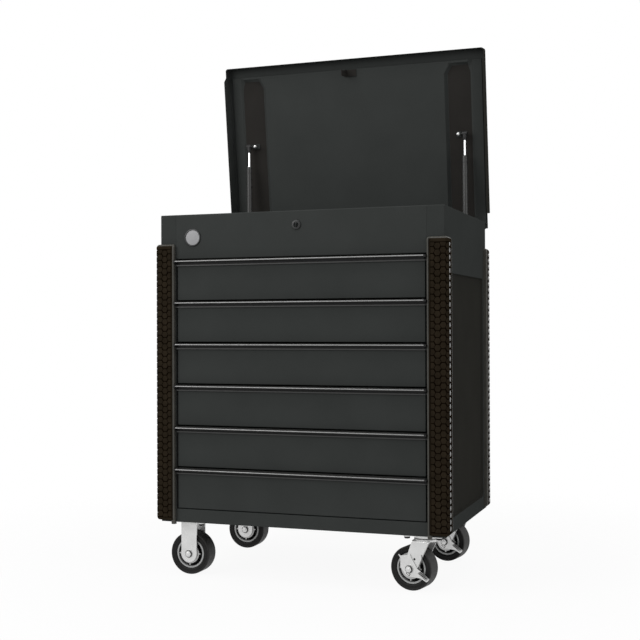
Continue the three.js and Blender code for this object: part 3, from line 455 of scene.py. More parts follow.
# Near black: painted shade on the wheel cores' webs and sleeves, the axle heads' sides and the fork rivets.
core_painted_shade = black("wheel_core_black", 0.006, 0.6, 0.1, grain=0.3)
seal_rubber = black("seal_rubber", 0.006, 0.6, 0.2, grain=0.3)
badge_face = brushed("badge_face", (0.2, 0.2, 0.205), 0.4, 0.4, 0.05, 0.08)


# Fasteners
def bolt_head(form, axis, centre, across, height, sign=1, face_look=0, wall_look=0):
    """A hexagon head that stands out along the axis by sign, its sides with a look of their own."""
    radius = across / math.sqrt(3)
    chamfer = 0.12 * height
    profile = [(0, 0), (radius, 0), (radius, height - chamfer), (radius * 0.9, height), (0, height)]
    sides = 2
    form.turn([(r, sign * a) for r, a in profile], axis, centre, 6,
              lambda row: wall_look if row < sides else face_look)


def dome(form, axis, centre, radius, height, sign=1, look_number=0):
    """A rivet's or screw's low round head."""
    sunk = -sign * 0.2 * mm
    crown = [(radius * a, sign * height * b) for a, b in arc(0, 0, 1, 0, 75, 5)]
    form.turn([(0, sunk), (radius, sunk)] + crown + [(0, sign * height)], axis, centre, 20, look_number)


# Cabinet
recess_depth = 8 * mm
recess_margin = 44.5 * mm
recess_foot = 40 * mm
recess_corner = 12 * mm
till_band = 186 * mm
rim_round = 2 * mm
pan_flange = 20 * mm


def recess_loops():
    """The pressed recess, from its soft edge down its slope to its floor."""
    slope = recess_depth * 0.5
    steps = [
        (0, 0), (0.6 * mm, 0.15 * mm), (1.2 * mm, 0.8 * mm), (slope, recess_depth - 1 * mm),
        (slope + 0.6 * mm, recess_depth - 0.25 * mm), (slope + 1.6 * mm, recess_depth),
    ]
    loops = []
    for inset, depth in steps:
        outline = rounded(front + recess_margin + inset, back - recess_margin - inset,
                          base + recess_foot + inset, rim - till_band - inset, recess_corner - inset)
        loops.append([(side - depth, y, z) for y, z in outline])
    return loops


def rim_loops(corner):
    """The rolled rim, from the wall's top over the flange to the lip that hangs from it."""
    near, far = front + bend, back - bend
    levels = [(bend - b, rim - bend + a) for b, a in arc(0, 0, bend, 0, 90, 5)]
    levels += [(rim_flange - rim_round + b, rim - rim_round + a) for b, a in arc(0, 0, rim_round, 90, 0, 4)]
    levels.append((rim_flange, rim - rim_lip))
    loops = []
    for inset, height in levels:
        share = max(0, 1 - inset / bend)
        if share:
            turned = [(side - bend + (x - side + bend) * share, near + (y - near) * share) for x, y in corner]
        else:
            turned = [(side - inset, front + inset)] * len(corner)
        line = [(return_edge, front + inset)] + turned + [(side - inset, far)]
        loops.append([(x, y, height) for x, y in line])
    return loops


def side_panel(word):
    """A side wall with its front and back returns, its pressed recess, whose floor carries painted shade, and
    its rolled rim.
    """
    form = Form()
    near, far, top = front + bend, back - bend, rim - bend
    corner = arc(side - bend, near, bend, -90, 0, 6)
    rear_corner = arc(side - bend, far, bend, 0, 90, 6)
    form.strip([[(x, y, z) for x, y in [(return_edge, front)] + corner] for z in (base, top)])
    form.strip([[(x, y, z) for x, y in rear_corner + [(return_edge, back)]] for z in (base, back_top)])
    edge = [(side, y, z) for y, z in rounded(near, far, base, top, 0)]
    recess = recess_loops()
    form.band([edge] + recess[:3])
    # The recess floor takes the darker paint as painted shade.
    form.band(recess[2:], 1, end=True)
    form.strip(rim_loops(corner))
    middle = Vector((0, (front + back) / 2, (base + rim) / 2))
    piece(word + "_wall", form, "cabinet", [side_paint, painted_recess_shade], [word + "_side_panel"],
          shell=sheet, inside=middle, place=mirror(x=hands[word]))


def till_front():
    y0, y1, z0, z1 = till_low.y, till_low.y + rim_flange, till_low.z, till_high.z
    section = folded([(y1, z1 - rim_lip), (y1, z1), (y0, z1), (y0, z0), (y1, z0)])
    form = Form().prism(section, "X", till_low.x, till_high.x)
    piece("till_front_panel", form, "cabinet", [paint], ["till_front"], bevel=0.3 * mm)


def base_pan():
    y0, y1, z0, z1 = pan_low.y, pan_high.y, pan_low.z, pan_high.z
    section = folded([(y0 + pan_flange, z1), (y0, z1), (y0, z0), (y1, z0), (y1, z0 + pan_flange)])
    form = Form().prism(section, "X", till_low.x, till_high.x)
    wing = (y0 + bend + seam, y1 - bend)
    form.box((pan_low.x, till_low.x), wing, (z0, z0 + sheet))
    form.box((till_high.x, pan_high.x), wing, (z0, z0 + sheet))
    piece("bottom_rail", form, "cabinet", [paint], ["base_pan"], bevel=0.3 * mm)


def back_fasteners():
    """Rivets down both edges of the back."""
    form = Form()
    rows = 9
    lowest, highest = base + 40 * mm, back_top - 80 * mm
    inset = 14 * mm
    for sign in hands.values():
        for i in range(rows):
            height = lowest + (highest - lowest) * i / (rows - 1)
            dome(form, "Y", Vector((sign * (return_edge + inset), back, height)), 3.2 * mm, 1.1 * mm)
    piece("back_rivets", form, "cabinet", [paint])


def seals():
    """The rubber bead that the closed lid rests on, along each side's rim."""
    bead = 1.2 * mm
    centre = side - 8 * mm
    start, end = front + 26 * mm, back - 30 * mm
    for word, sign in hands.items():
        form = Form()
        for i in (-1, 1):
            form.prism(arc(centre + i * bead * 1.2, rim + 0.2 * mm, bead, 0, 180, 8), "Y", start, end)
        piece("rim_seal_" + word, form, "cabinet", [seal_rubber], place=mirror(x=sign))


# Corner bumpers, each made as the front right one
bumper_low, bumper_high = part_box("bumper_front_right")
bumper_seat = front - seam
bumper_wall = side + seam
bumper_lip = 3.4 * mm
bumper_lip_wide = 5.4 * mm
bumper_groove = 1.9 * mm
bumper_groove_deep = 1.2 * mm
bumper_border = 9.5 * mm
bumper_field = 1.6 * mm
bumper_slope = 1.2 * mm
bumper_corner = 9 * mm
bumper_shoulder = 11 * mm
bumper_foot_share = 0.4
bumper_edge_round = 7.5 * mm
bumper_foot_round = 1 * mm
bumper_end = 15.5 * mm
bumper_foot_end = 8 * mm
bumper_hook = 9.5 * mm
bumper_hook_wide = 11 * mm
bumper_face = bumper_high.x - bumper_corner - bumper_low.x
bumper_bow = bumper_corner * math.pi / 2
bumper_width = bumper_face + bumper_bow + bumper_high.y - bumper_low.y - bumper_corner
field_low = bumper_low.z + bumper_foot_end
field_high = bumper_high.z - bumper_end
hexagon = 10.9 * mm
pad_columns = range(-3, 3)
pad_shift = 4 * mm
pad_margin = 0.4 * mm
flank_pad_share = 0.82
pad_rings = [(0.94, -0.3 * mm), (0.87, 1 * mm), (0.8, 1.4 * mm), (0.5, bumper_field - 0.12 * mm),
             (0.001, bumper_field - 0.08 * mm)]
# Looks: the rubber, the lips' painted highlight, the gaps' painted shade, and the corner pads' painted sheen.
face_look, painted_highlight_look, painted_shade_gap, painted_sheen_look = range(4)


def lip_line(edge, room, inward):
    """From the back of a lip round its edge and through its groove, as (across, deep) points and looks."""
    corner = min(bumper_lip, room * 0.7)
    groove = min(bumper_groove_deep, room * 0.3)
    near = bumper_lip_wide + 0.25 * bumper_groove
    points = [(0, corner)] + [(corner - a, corner - b) for a, b in arc(0, 0, corner, 0, 90, 6)]
    points += [(bumper_lip_wide, 0), (near, groove), (near + 0.5 * bumper_groove, groove)]
    points += [(bumper_lip_wide + bumper_groove, 0), (bumper_border, 0)]
    # The lip in painted highlight, the groove in painted shade.
    looks = [painted_highlight_look] * 8 + [painted_shade_gap] * 3 + [face_look]
    return [(edge + inward * across, deep) for across, deep in points], looks


def bumper_section(height, face_back, flank_back, edge_inset, sunk):
    """A level's loop and the look of each of its steps."""
    x0, y0 = bumper_low.x + edge_inset, bumper_low.y + face_back
    x1, y1 = bumper_high.x - flank_back, bumper_high.y - edge_inset
    face_lip, face_looks = lip_line(x0, bumper_seat - y0, 1)
    flank_lip, flank_looks = lip_line(y1, x1 - bumper_wall, -1)
    corner = max(bumper_corner - flank_back, 2 * mm)
    # The sunk field's floor carries painted shade.
    bed = painted_shade_gap if sunk else face_look
    field = bumper_border + bumper_slope
    turn = arc(x1 - corner, y0 + corner, corner - sunk, -90, 0, 10)
    points = [(x0, bumper_seat)] + [(a, y0 + b) for a, b in face_lip] + [(x0 + field, y0 + sunk)] + turn
    points += [(x1 - sunk, y1 - field)] + [(x1 - b, a) for a, b in reversed(flank_lip)]
    points += [(bumper_wall, y1), (bumper_wall, bumper_seat)]
    looks = [painted_highlight_look] + face_looks + [painted_shade_gap] + [bed] * (len(turn) + 1) + [painted_shade_gap]
    looks += flank_looks[::-1] + [painted_highlight_look, face_look, face_look]
    return [(x, y, height) for x, y in points], looks


def shoulder_levels(edge_radius):
    """Height under the end, and how far face and edges draw back there."""
    levels = []
    for a, b in arc(0, 0, bumper_shoulder, 0, 90, 9):
        under = bumper_shoulder - b
        rise = edge_radius - under
        edge = edge_radius - math.sqrt(edge_radius ** 2 - rise ** 2) if rise > 0 else 0
        levels.append((under, bumper_shoulder - a, edge))
    return levels


def bumper_levels():
    """The levels from foot to cap, each with what bumper_section takes."""
    foot = [(bumper_low.z + under, back_off * bumper_foot_share, back_off, 0, 0)
            for under, back_off, edge in reversed(shoulder_levels(bumper_foot_round))
            if under < bumper_foot_end]
    middle = [(field_low, 0, 0, 0, 0), (field_low + bumper_slope, 0, 0, 0, bumper_field),
              (field_high - bumper_slope, 0, 0, 0, bumper_field), (field_high, 0, 0, 0, 0)]
    cap = [(bumper_high.z - under, back_off, back_off, edge, 0)
           for under, back_off, edge in shoulder_levels(bumper_edge_round)]
    return foot + middle + cap


def on_field(along, height, rise):
    """A point of the field, by its place along the bumper's developed width."""
    if along < bumper_face:
        return (bumper_low.x + along, bumper_low.y + bumper_field - rise, height)
    if along < bumper_face + bumper_bow:
        radius = bumper_corner - bumper_field + rise
        t = -math.pi / 2 + (along - bumper_face) / bumper_corner
        return (bumper_high.x - bumper_corner + radius * math.cos(t),
                bumper_low.y + bumper_corner + radius * math.sin(t), height)
    past = along - bumper_face - bumper_bow
    return (bumper_high.x - bumper_field + rise, bumper_low.y + bumper_corner + past, height)


def pad(form, centre, height, size, sides, wall_look, top_look):
    """A hexagon pad whose ring drops into the field, cut off at the field's edges."""
    edge = bumper_border + bumper_slope + pad_margin
    lowest, highest = field_low + bumper_slope + pad_margin, field_high - bumper_slope - pad_margin
    loops = []
    for share, rise in pad_rings:
        loop = []
        for i in range(sides):
            t = 2 * math.pi * i / sides
            corner = math.cos(math.pi / 6) / math.cos((t % (math.pi / 3)) - math.pi / 6)
            across = centre + size * share * corner * math.cos(t)
            level = height + size * share * corner * math.sin(t)
            across = min(max(across, edge), bumper_width - edge)
            loop.append(on_field(across, min(max(level, lowest), highest), rise))
        loops.append(loop)
    # The ring where the pad drops into the field carries painted shade.
    form.band(loops[:2], painted_shade_gap)
    form.band(loops[1:3], wall_look)
    form.band(loops[2:], top_look)


def pads(form):
    """Columns of pads round the bumper; the one past its corner has walls in painted highlight and tops in
    painted sheen.
    """
    pitch = math.sqrt(3) * hexagon
    for column in pad_columns:
        centre = bumper_face + bumper_bow / 2 + pad_shift + column * hexagon * 1.5
        sides = 24 if abs(column) < 2 else 12
        size = hexagon * (flank_pad_share if column > 0 else 1)
        wall_look, top_look = (painted_highlight_look, painted_sheen_look) if column == 1 else (face_look, face_look)
        height = field_low + bumper_slope + pad_margin + (pitch / 2 if column % 2 else pitch / 8)
        while height < field_high - bumper_slope - pad_margin:
            pad(form, centre, height, size, sides, wall_look, top_look)
            height += pitch


def bumper(word, end):
    """The moulded angle: lips lighter with painted highlight, a groove, a sunk field of pads, round shoulders
    and a small foot; the groove and the field floor carry painted shade.
    """
    form = Form()
    levels = bumper_levels()
    last = len(levels) - 2
    for row, (here, after) in enumerate(zip(levels, levels[1:])):
        loop, looks = bumper_section(*here)
        above, looks_above = bumper_section(*after)
        # The band under the top takes the lips' painted highlight.
        if here[0] > bumper_high.z - bumper_lip_wide - mm:
            looks = [painted_highlight_look] * len(loop)
        elif after[4] > here[4]:
            looks = looks_above
        form.loft([loop, above], lambda i: looks[i], start=row == 0, end=row == last)
    form.box((bumper_low.x, bumper_low.x + bumper_hook_wide), (bumper_low.y + 3 * mm, bumper_seat),
             (bumper_low.z - bumper_hook, bumper_low.z + 1 * mm), painted_highlight_look)
    pads(form)
    about = Matrix.Translation((0, (front + back) / 2, 0))
    place = about @ mirror(hands[word], ends[end]) @ about.inverted()
    piece("corner_bumper_" + end + "_" + word, form, "cabinet",
          [bumper_rubber, bumper_painted_highlight, bumper_painted_shade, bumper_painted_sheen],
          ["bumper_" + end + "_" + word], place=place)


# Drawers
front_depth = 18 * mm
front_round = 2 * mm
tray_half = 372 * mm
tray_lift = 6 * mm
tray_height = 90 * mm
tray_bend = 1.4 * mm
hem = 4 * mm
slide_lift = 51 * mm
slide_bend = 1.6 * mm
runner_half = 20.65 * mm
runner_reach = 9.8 * mm
runner_inset = 22 * mm
rivet_radius = 3.5 * mm
upright_wide = 28 * mm
channel_half = 22.5 * mm
channel_reach = 9.5 * mm
channel_ends = (front + 19 * mm, back - 14.5 * mm)


def drawer_front(number, low, high, inside):
    form = Form()
    loops = []
    for inset, depth in ((0, front_depth), (0, front_round), (0.3 * front_round, 0.3 * front_round),
                         (front_round, 0)):
        outline = rounded(low.x + inset, high.x - inset, low.z + inset, high.z - inset,
                          max(1.5 * mm - inset, 0), 3)
        loops.append([(x, low.y + depth, z) for x, z in outline])
    form.band(loops, end=True)
    piece("drawer_front_" + number, form, "drawer_box_" + number, [paint],
          ["drawer_" + number], shell=sheet, inside=inside)


def drawer_tray(number, low, high, inside):
    form = Form()
    floor, top = low.z + tray_lift, low.z + tray_lift + tray_height
    far = high.y
    path = filleted([(tray_half - hem, top), (tray_half, top), (tray_half, floor), (-tray_half, floor),
                     (-tray_half, top), (-tray_half + hem, top)], tray_bend, 4)
    form.strip([[(x, y, z) for x, z in path] for y in (low.y + sheet, far)])
    corners = [(-tray_half, floor), (tray_half, floor), (tray_half, top), (-tray_half, top)]
    form.add([(x, far, z) for x, z in corners], [[0, 1, 2, 3]])
    piece("drawer_tray_" + number, form, "drawer_box_" + number, [paint], shell=thin_sheet,
          inside=inside + Vector((0, 0, 20 * mm)))


def drawer_runners(number, low, high):
    form = Form()
    centre = low.z + slide_lift
    for sign in hands.values():
        tip, web = sign * (tray_half + runner_reach), sign * (tray_half + 0.1 * mm)
        line = [(tip, centre - runner_half), (web, centre - runner_half), (web, centre + runner_half),
                (tip, centre + runner_half)]
        section = folded(line if sign < 0 else line[::-1], sheet, slide_bend, 4)
        form.prism(section, "Y", low.y + runner_inset, high.y)
        for i in range(4):
            place = Vector((sign * (tray_half - thin_sheet), low.y + (60 + 130 * i) * mm, centre))
            dome(form, "X", place, rivet_radius, 1.2 * mm, -sign)
    piece("drawer_runners_" + number, form, "drawer_box_" + number, [slide_steel])


def drawer(number):
    low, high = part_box("drawer_" + number)
    inside = Vector((0, low.y + 200 * mm, (low.z + high.z) / 2))
    drawer_front(number, low, high, inside)
    drawer_tray(number, low, high, inside)
    drawer_runners(number, low, high)


def slide_rack(word):
    """A side's two uprights, near black as painted shade of the gap beside the drawers, with a zinc channel
    for each drawer.
    """
    low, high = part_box("slide_rack_right")
    web = low.x + channel_reach
    form = Form()
    for near in (low.y, high.y - upright_wide):
        line = [(high.x, near), (web, near), (web, near + upright_wide), (high.x, near + upright_wide)]
        form.prism(folded(line[::-1], sheet, slide_bend, 4), "Z", low.z, high.z)
    for number in drawer_numbers:
        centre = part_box("drawer_" + number)[0].z + slide_lift
        line = [(low.x, centre - channel_half), (web, centre - channel_half), (web, centre + channel_half),
                (low.x, centre + channel_half)]
        form.prism(folded(line, sheet, slide_bend, 4), "Y", *channel_ends, 1)
        for i in range(4):
            place = Vector((web - sheet, front + (60 + 140 * i) * mm, centre))
            dome(form, "X", place, rivet_radius, 1 * mm, -1, 1)
    piece("slide_uprights_" + word, form, "cabinet", [rack_painted_shade, slide_steel],
          ["slide_rack_" + word], place=mirror(x=hands[word]))


pull_bead_radius = 1.8 * mm
pull_cap_length = 6 * mm
pull_wall = 2.5 * mm
pull_strip = 4.5 * mm
pull_nose = 2.5 * mm


def pull(number):
    """An extruded pull with a bright bead along its lip, a hollow under it darkened with painted shade, and a
    cap on each end.
    """
    low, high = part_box("drawer_pull_" + number)
    seat, tip, top, foot = high.y, low.y, high.z, low.z
    wall, bead, lip = pull_wall, pull_bead_radius, tip + pull_nose
    section = [(seat, foot), (seat, top - 0.6 * mm), (seat - 0.6 * mm, top)]
    section += curve((seat - wall, top), (lip, top), (tip + bead * 0.35, top - 1.6 * bead), 9)
    first = len(section) - 2
    section += arc(tip + bead, top - 2.4 * bead, bead, 150, 320, 12)
    last = len(section) - 2
    section += curve((tip + 2 * bead, top - 2.6 * bead), (tip + 3 * bead, top - 1.3 * bead),
                     (seat - wall * 1.3, top - wall * 1.4), 6)
    section += [(seat - wall, top - wall * 2), (seat - wall, foot + pull_strip)]
    hollow = len(section) - 1
    section += [(seat - 2 * wall, foot + pull_strip - 1 * mm), (seat - 2 * wall, foot)]

    # The hollow under the bead takes the caps' black as painted shade.
    def finish(i):
        if first < i < last:
            return 1
        return 2 if last <= i < hollow else 0

    form = Form()
    reach = high.x - pull_cap_length
    form.loft([[(x, a, b) for a, b in section] for x in (-reach, reach)], finish)
    closed = [(seat, foot), (seat, top)] + curve((seat - wall, top), (lip, top), (tip, top - 4 * mm), 6)
    closed += [(tip, top - 8 * mm), (seat - 2 * wall, foot + pull_strip), (seat - 2 * wall, foot)]
    deep, high_up = (seat + tip) / 2, (top + foot) / 2
    for sign in hands.values():
        form.loft([
            [(sign * x, deep + (a - deep) * share, high_up + (b - high_up) * share) for a, b in closed]
            for x, share in ((reach, 1), (high.x - 0.6 * mm, 1), (high.x, 0.96))
        ], 2)
    piece("pull_" + number, form, "drawer_box_" + number, [pull_grey, pull_bead, black_caps_and_hollow_shade],
          ["drawer_pull_" + number])


# Lid, made in its closed place and then opened
lid_top = rim + 8 * mm
lid_over = 10 * mm
lid_front = front - lid_over
lid_wide = side + lid_over
lid_narrow = side + 2 * mm
lid_corner = 8 * mm
lid_edge = 3 * mm
lid_step = back - 50 * mm
front_skirt = 34 * mm
side_skirt = 52 * mm
rear_skirt = 6 * mm
notch = 30 * mm
notch_slant = 15 * mm
rear_half = side - 2.5 * mm
opened = Matrix.Translation(hinge) @ Matrix.Rotation(-open_angle, 4, "X") @ Matrix.Translation(-hinge)
lid_inside = Vector((0, (front + back) / 2, rim - 200 * mm))


def lid_shell():
    """The pressed shell: a flat skin with rounded edges, skirts of three depths and a notch behind each front
    corner.
    """
    small = 1 * mm
    turn = arc(lid_wide - lid_corner, lid_front + lid_corner, lid_corner, -90, 0, 8)
    half = [(x, y, front_skirt) for x, y in turn]
    half += [(lid_wide, lid_front + notch, front_skirt),
             (lid_wide, lid_front + notch + notch_slant, side_skirt)]
    half += [(lid_wide, lid_step - small, side_skirt), (lid_wide, lid_step, side_skirt)]
    half += [(lid_narrow + small, lid_step, rear_skirt), (lid_narrow, lid_step + small, rear_skirt)]
    half += [(lid_narrow, back - small, rear_skirt), (lid_narrow - small, back, rear_skirt)]
    half += [(rear_half + 0.2 * mm, back, rear_skirt), (rear_half, back, lid_top - hinge.z - 2 * mm)]
    path = half + [(-x, y, depth) for x, y, depth in reversed(half)]
    loops = [[(x, y, lid_top - depth) for x, y, depth in path],
             [(x, y, lid_top - lid_edge) for x, y, depth in path]]
    for a, b in arc(0, 0, lid_edge, 0, 90, 4)[1:]:
        inset, drop = lid_edge - a, lid_edge - b
        loops.append([(x - math.copysign(inset, x), y + (inset if y < 0 else -inset), lid_top - drop)
                      for x, y, depth in path])
    sides = [abs(x) > lid_wide - small for x, y, depth in path]
    form = Form()
    # The outer faces of the side skirts take the darker paint as painted shade.
    form.band(loops[:2], lambda i: 2 if sides[i] and sides[(i + 1) % len(path)] else 0)
    form.band(loops[1:], end=True)
    piece("lid_outer_shell", form, "lid", [side_paint, paint, painted_recess_shade, paint],
          ["lid_shell"], shell=thin_sheet, inside=lid_inside, place=opened, lining=1)


liner_near = lid_front + 31 * mm
liner_far = hinge.y - 20 * mm
liner_edge = lid_wide - 12 * mm
channel_inner = 324 * mm
channel_outer = 400 * mm
channel_slope = 10 * mm
channel_border = 12 * mm
channel_cut = 15 * mm
strip_slope = 6 * mm
liner_fillet = 1.6 * mm
skin_under = lid_top - thin_sheet
panel_level, strip_level, floor_level = skin_under - 12 * mm, skin_under - 5.2 * mm, skin_under - 1.5 * mm


def liner_line(cut, sunk):
    """The pan from side to side; cut shifts the channels' walls and sunk is how deep the channels are."""
    bed = panel_level + (floor_level - panel_level) * sunk
    half = [(channel_inner - channel_slope + cut, panel_level), (channel_inner + cut, bed),
            (channel_outer - cut / 2, bed), (channel_outer + strip_slope, strip_level),
            (liner_edge, strip_level), (liner_edge, floor_level)]
    return filleted([(-x, z) for x, z in reversed(half)] + half, liner_fillet, 4)


def lid_liner():
    """The inner pan with its raised middle, and a sunk channel for each strut whose upper corners are cut;
    the channel floors carry painted shade.
    """
    flat, pocket, whole = liner_line(channel_cut, 0.02), liner_line(channel_cut, 1), liner_line(0, 1)
    hem_height = skin_under - seam
    level, rise = 1.2 * mm, 4 * mm
    near = liner_near + channel_border
    rows = [
        (liner_near, flat, hem_height), (liner_near + 0.5 * mm, flat, level), (liner_near + 2 * mm, flat, 0),
        (near - rise, flat, 0), (near + rise, pocket, 0), (near + 28 * mm, whole, 0),
        (liner_far - 2 * mm, whole, 0), (liner_far - 0.5 * mm, whole, level), (liner_far, whole, hem_height),
    ]
    loops = []
    for y, points, lift in rows:
        if lift > level:
            loops.append([(x, y, lift) for x, z in points])
        else:
            loops.append([(x, y, min(z + lift, floor_level) if lift else z) for x, z in points])

    # The channel floors take the darker paint as painted shade.
    def channel_painted_shade(i):
        middle = abs(whole[i][0] + whole[i + 1][0]) / 2
        return 1 if channel_inner + 1 * mm < middle < channel_outer - 1 * mm else 0

    form = Form().strip(loops[:5])
    form.strip(loops[4:], channel_painted_shade)
    piece("lid_inner_pan", form, "lid", [paint, painted_shade_and_dark_paint], ["lid_liner"], shell=thin_sheet,
          inside=Vector((0, (front + back) / 2, lid_top + 500 * mm)), place=opened)


# Hinge
knuckle = 4 * mm
knuckle_bore = 2.4 * mm
knuckle_count = 29
knuckle_gap = 0.5 * mm
leaf_height = 33 * mm
leaf_screws = 11
hinge_half = rear_half - 3 * mm
pin_radius = 2.2 * mm
pin_head = 3.4 * mm
pin_head_length = 2 * mm


def hinge_leaf(up):
    """A leaf with every other knuckle, and the screws that hold it."""
    form = Form()
    pitch = 2 * hinge_half / knuckle_count
    sign = 1 if up else -1
    plate = (-knuckle, -knuckle + sheet)
    form.box((-hinge_half, hinge_half), plate, sorted((sign * 4.2 * mm, sign * leaf_height)))
    for i in range(1 if up else 0, knuckle_count, 2):
        low = -hinge_half + i * pitch + knuckle_gap / 2
        high = low + pitch - knuckle_gap
        barrel = [(knuckle_bore, low), (knuckle, low), (knuckle, high), (knuckle_bore, high)]
        form.turn(barrel, "X", origin, 24, ring=True)
        form.box((low, high), plate, sorted((sign * 1.2 * mm, sign * 5 * mm)))
    first_screw = hinge_half - 30 * mm
    for i in range(leaf_screws):
        x = first_screw * (2 * i / (leaf_screws - 1) - 1)
        dome(form, "Y", Vector((x, -knuckle + sheet, sign * 20 * mm)), 4 * mm, 1.6 * mm, 1)
    place = Matrix.Translation(hinge)
    name, node, body = ("lid", "hinge_leaf_lid", "lid") if up else ("body", "hinge_leaf_body", "cabinet")
    if up:
        place = opened @ place
    piece("piano_hinge_" + name, form, body, [paint], [node], place=place)


def hinge_pin():
    half = hinge_half + seam
    end = [(pin_head, half), (pin_head, half + pin_head_length * 0.5), (2.6 * mm, half + pin_head_length),
           (0, half + pin_head_length)]
    profile = [(r, -x) for r, x in reversed(end)] + [(pin_radius, -half), (pin_radius, half)] + end
    form = Form().turn(profile, "X", hinge, 20)
    piece("hinge_rod", form, "cabinet", [slide_steel], ["hinge_pin"])


# Gas struts, each along its own axis from its foot
strut_side = joints["strut_pivot_right"]["pos_m"][0]
stud_reach = 314.5 * mm
stud_drop = 26.5 * mm
stud_closed = Vector((0, hinge.y - stud_reach, lid_top - stud_drop))
stud_open = opened @ stud_closed
stud_radius = 4 * mm
tube_radius = 9 * mm
tube_bore = 7.4 * mm
tube_mouth = 4.4 * mm
tube_start = 14 * mm
tube_end_gap = 22.8 * mm
tube_crimp = 24.2 * mm
eye_radius = 8 * mm
eye_half = 6 * mm
rod_radius = 4 * mm
rod_end_gap = 21 * mm
piston_radius = 7 * mm
piston_length = 8 * mm
socket_radius = 7.6 * mm
foot_plate = 30 * mm
foot_ear = 11 * mm
ball_radius = 6 * mm
bracket_half = 9 * mm
bracket_ear = 12 * mm


def strut_tube(word, tube, place):
    """The cylinder with its crimped groove and open mouth, and the eye at its foot."""
    form = Form()
    start, radius = tube_start, tube_radius
    crimp, groove = tube - tube_crimp, tube_radius - 0.8 * mm
    lip = tube - 5 * mm
    form.turn([
        (0, start), (5 * mm, start), (tube_bore, start + 0.8 * mm), (radius, start + 3.4 * mm),
        (radius, crimp - 1.8 * mm), (groove, crimp - 0.6 * mm), (groove, crimp + 0.6 * mm),
        (radius, crimp + 1.8 * mm), (radius, tube - 2 * mm), (radius - 0.5 * mm, tube - 0.7 * mm),
        (radius - 1.8 * mm, tube), (tube_mouth, tube), (tube_mouth, lip), (tube_bore, lip),
        (tube_bore, start + 6 * mm), (0, start + 6 * mm),
    ], "Z", origin, 40)
    neck = [(5 * mm, start + 1 * mm), (-5 * mm, start + 1 * mm)]
    form.prism(arc(0, 0, eye_radius, 180, 360, 16) + neck, "X", -eye_half, eye_half, 1)
    bore = [(stud_radius + 0.35 * mm, eye_half), (eye_radius - 2.6 * mm, eye_half + 0.3 * mm)]
    form.turn(both_ways(bore), "X", origin, 24, 1, ring=True)
    piece("strut_tube_cover_" + word, form, "strut_tube_" + word, [strut_grey, socket_black],
          ["strut_cylinder_" + word], place=place)


def strut_rod(word, tube, length, place):
    """The rod with its piston, and the socket that takes the lid's stud."""
    form = Form()
    end = length - rod_end_gap
    piston = tube - 7 * mm
    form.turn([(0, piston - piston_length), (piston_radius, piston - piston_length), (piston_radius, piston),
               (rod_radius, piston), (rod_radius, end + 1 * mm), (0, end + 1 * mm)], "Z", origin, 32)
    form.turn([(0, end), (5.6 * mm, end), (6.4 * mm, end + 0.8 * mm), (7 * mm, end + 8 * mm),
               (socket_radius, end + 12 * mm), (socket_radius, length), (0, length)], "Z", origin, 32, 1)
    wide = socket_radius + 0.1 * mm
    edge = [(0, socket_radius), (7 * mm, socket_radius), (wide, socket_radius - 1 * mm)]
    form.turn(both_ways(edge), "X", Vector((0, 0, length)), 32, 1)
    piece("strut_rod_cover_" + word, form, "strut_slider_" + word, [chrome, socket_black],
          ["strut_rod_" + word], place=place)


def strut_foot(word, foot):
    """The bracket on the till's back wall: plate, ear and headed stud."""
    form = Form()
    ear = strut_side + foot_ear
    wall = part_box("strut_bracket_" + word)[1].y
    plate = rounded(ear, ear + foot_plate, foot.z - 22 * mm, foot.z + 22 * mm, 4 * mm)
    form.prism(plate, "Y", wall - 2 * mm, wall)
    tab = [(wall - 0.5 * mm, foot.z - 8 * mm), (wall - 0.5 * mm, foot.z + 8 * mm)]
    form.prism(tab + arc(foot.y, foot.z, 8 * mm, 90, 270, 12), "X", ear, ear + 2 * mm)
    inner = strut_side - eye_half - seam
    head = 6.5 * mm
    stud = [(0, inner - 2.5 * mm), (head - 1 * mm, inner - 2.5 * mm), (head, inner - 1.6 * mm), (head, inner),
            (stud_radius, inner), (stud_radius, ear + 1 * mm), (0, ear + 1 * mm)]
    form.turn(stud, "X", Vector((0, foot.y, foot.z)), 28)
    for shift in (-14 * mm, 14 * mm):
        dome(form, "Y", Vector((ear + 18 * mm, wall - 2 * mm, foot.z + shift)), 4 * mm, 1.8 * mm, -1)
    piece("strut_foot_" + word, form, "cabinet", [slide_steel], ["strut_bracket_" + word],
          bevel=0.25 * mm, place=mirror(x=hands[word]))


def lid_bracket(word):
    """The bracket under the lid's skin: plate, ear, dark stud and a bright ball behind it."""
    form = Form()
    height, y = lid_top - stud_drop, stud_closed.y
    ear = strut_side - bracket_ear
    top = skin_under - 1.8 * mm
    plate = rounded(ear - 20 * mm, ear, y - bracket_half, y + bracket_half, 2.5 * mm)
    form.prism(plate, "Z", top - 2 * mm, top)
    tab = [(y + bracket_half, top - 1 * mm), (y - bracket_half, top - 1 * mm)]
    form.prism(tab + arc(y, height, 7 * mm, 180, 360, 14), "X", ear - 2 * mm, ear)
    centre = Vector((0, y, height))
    root, tip = ear - 1 * mm, strut_side - 8.3 * mm
    form.turn([(0, root), (stud_radius, root), (stud_radius, tip), (0, tip)], "X", centre, 28, 2)
    ball, neck = ear - 10 * mm, 3.2 * mm
    form.turn([(0, ball), (neck, ball), (neck, root), (0, root)], "X", centre, 24, 2)
    profile = [(b, ball + a) for a, b in arc(0, 0, ball_radius, 180, 0, 10)]
    form.turn(profile, "X", centre, 24, 1)
    for shift in (-5 * mm, 5 * mm):
        dome(form, "Z", Vector((ear - 11 * mm, y + shift, top - 2 * mm)), 2.6 * mm, 1.2 * mm, -1)
    piece("lid_bracket_" + word, form, "lid", [paint, zinc, socket_black], ["lid_stud_" + word],
          place=opened @ mirror(x=hands[word]))


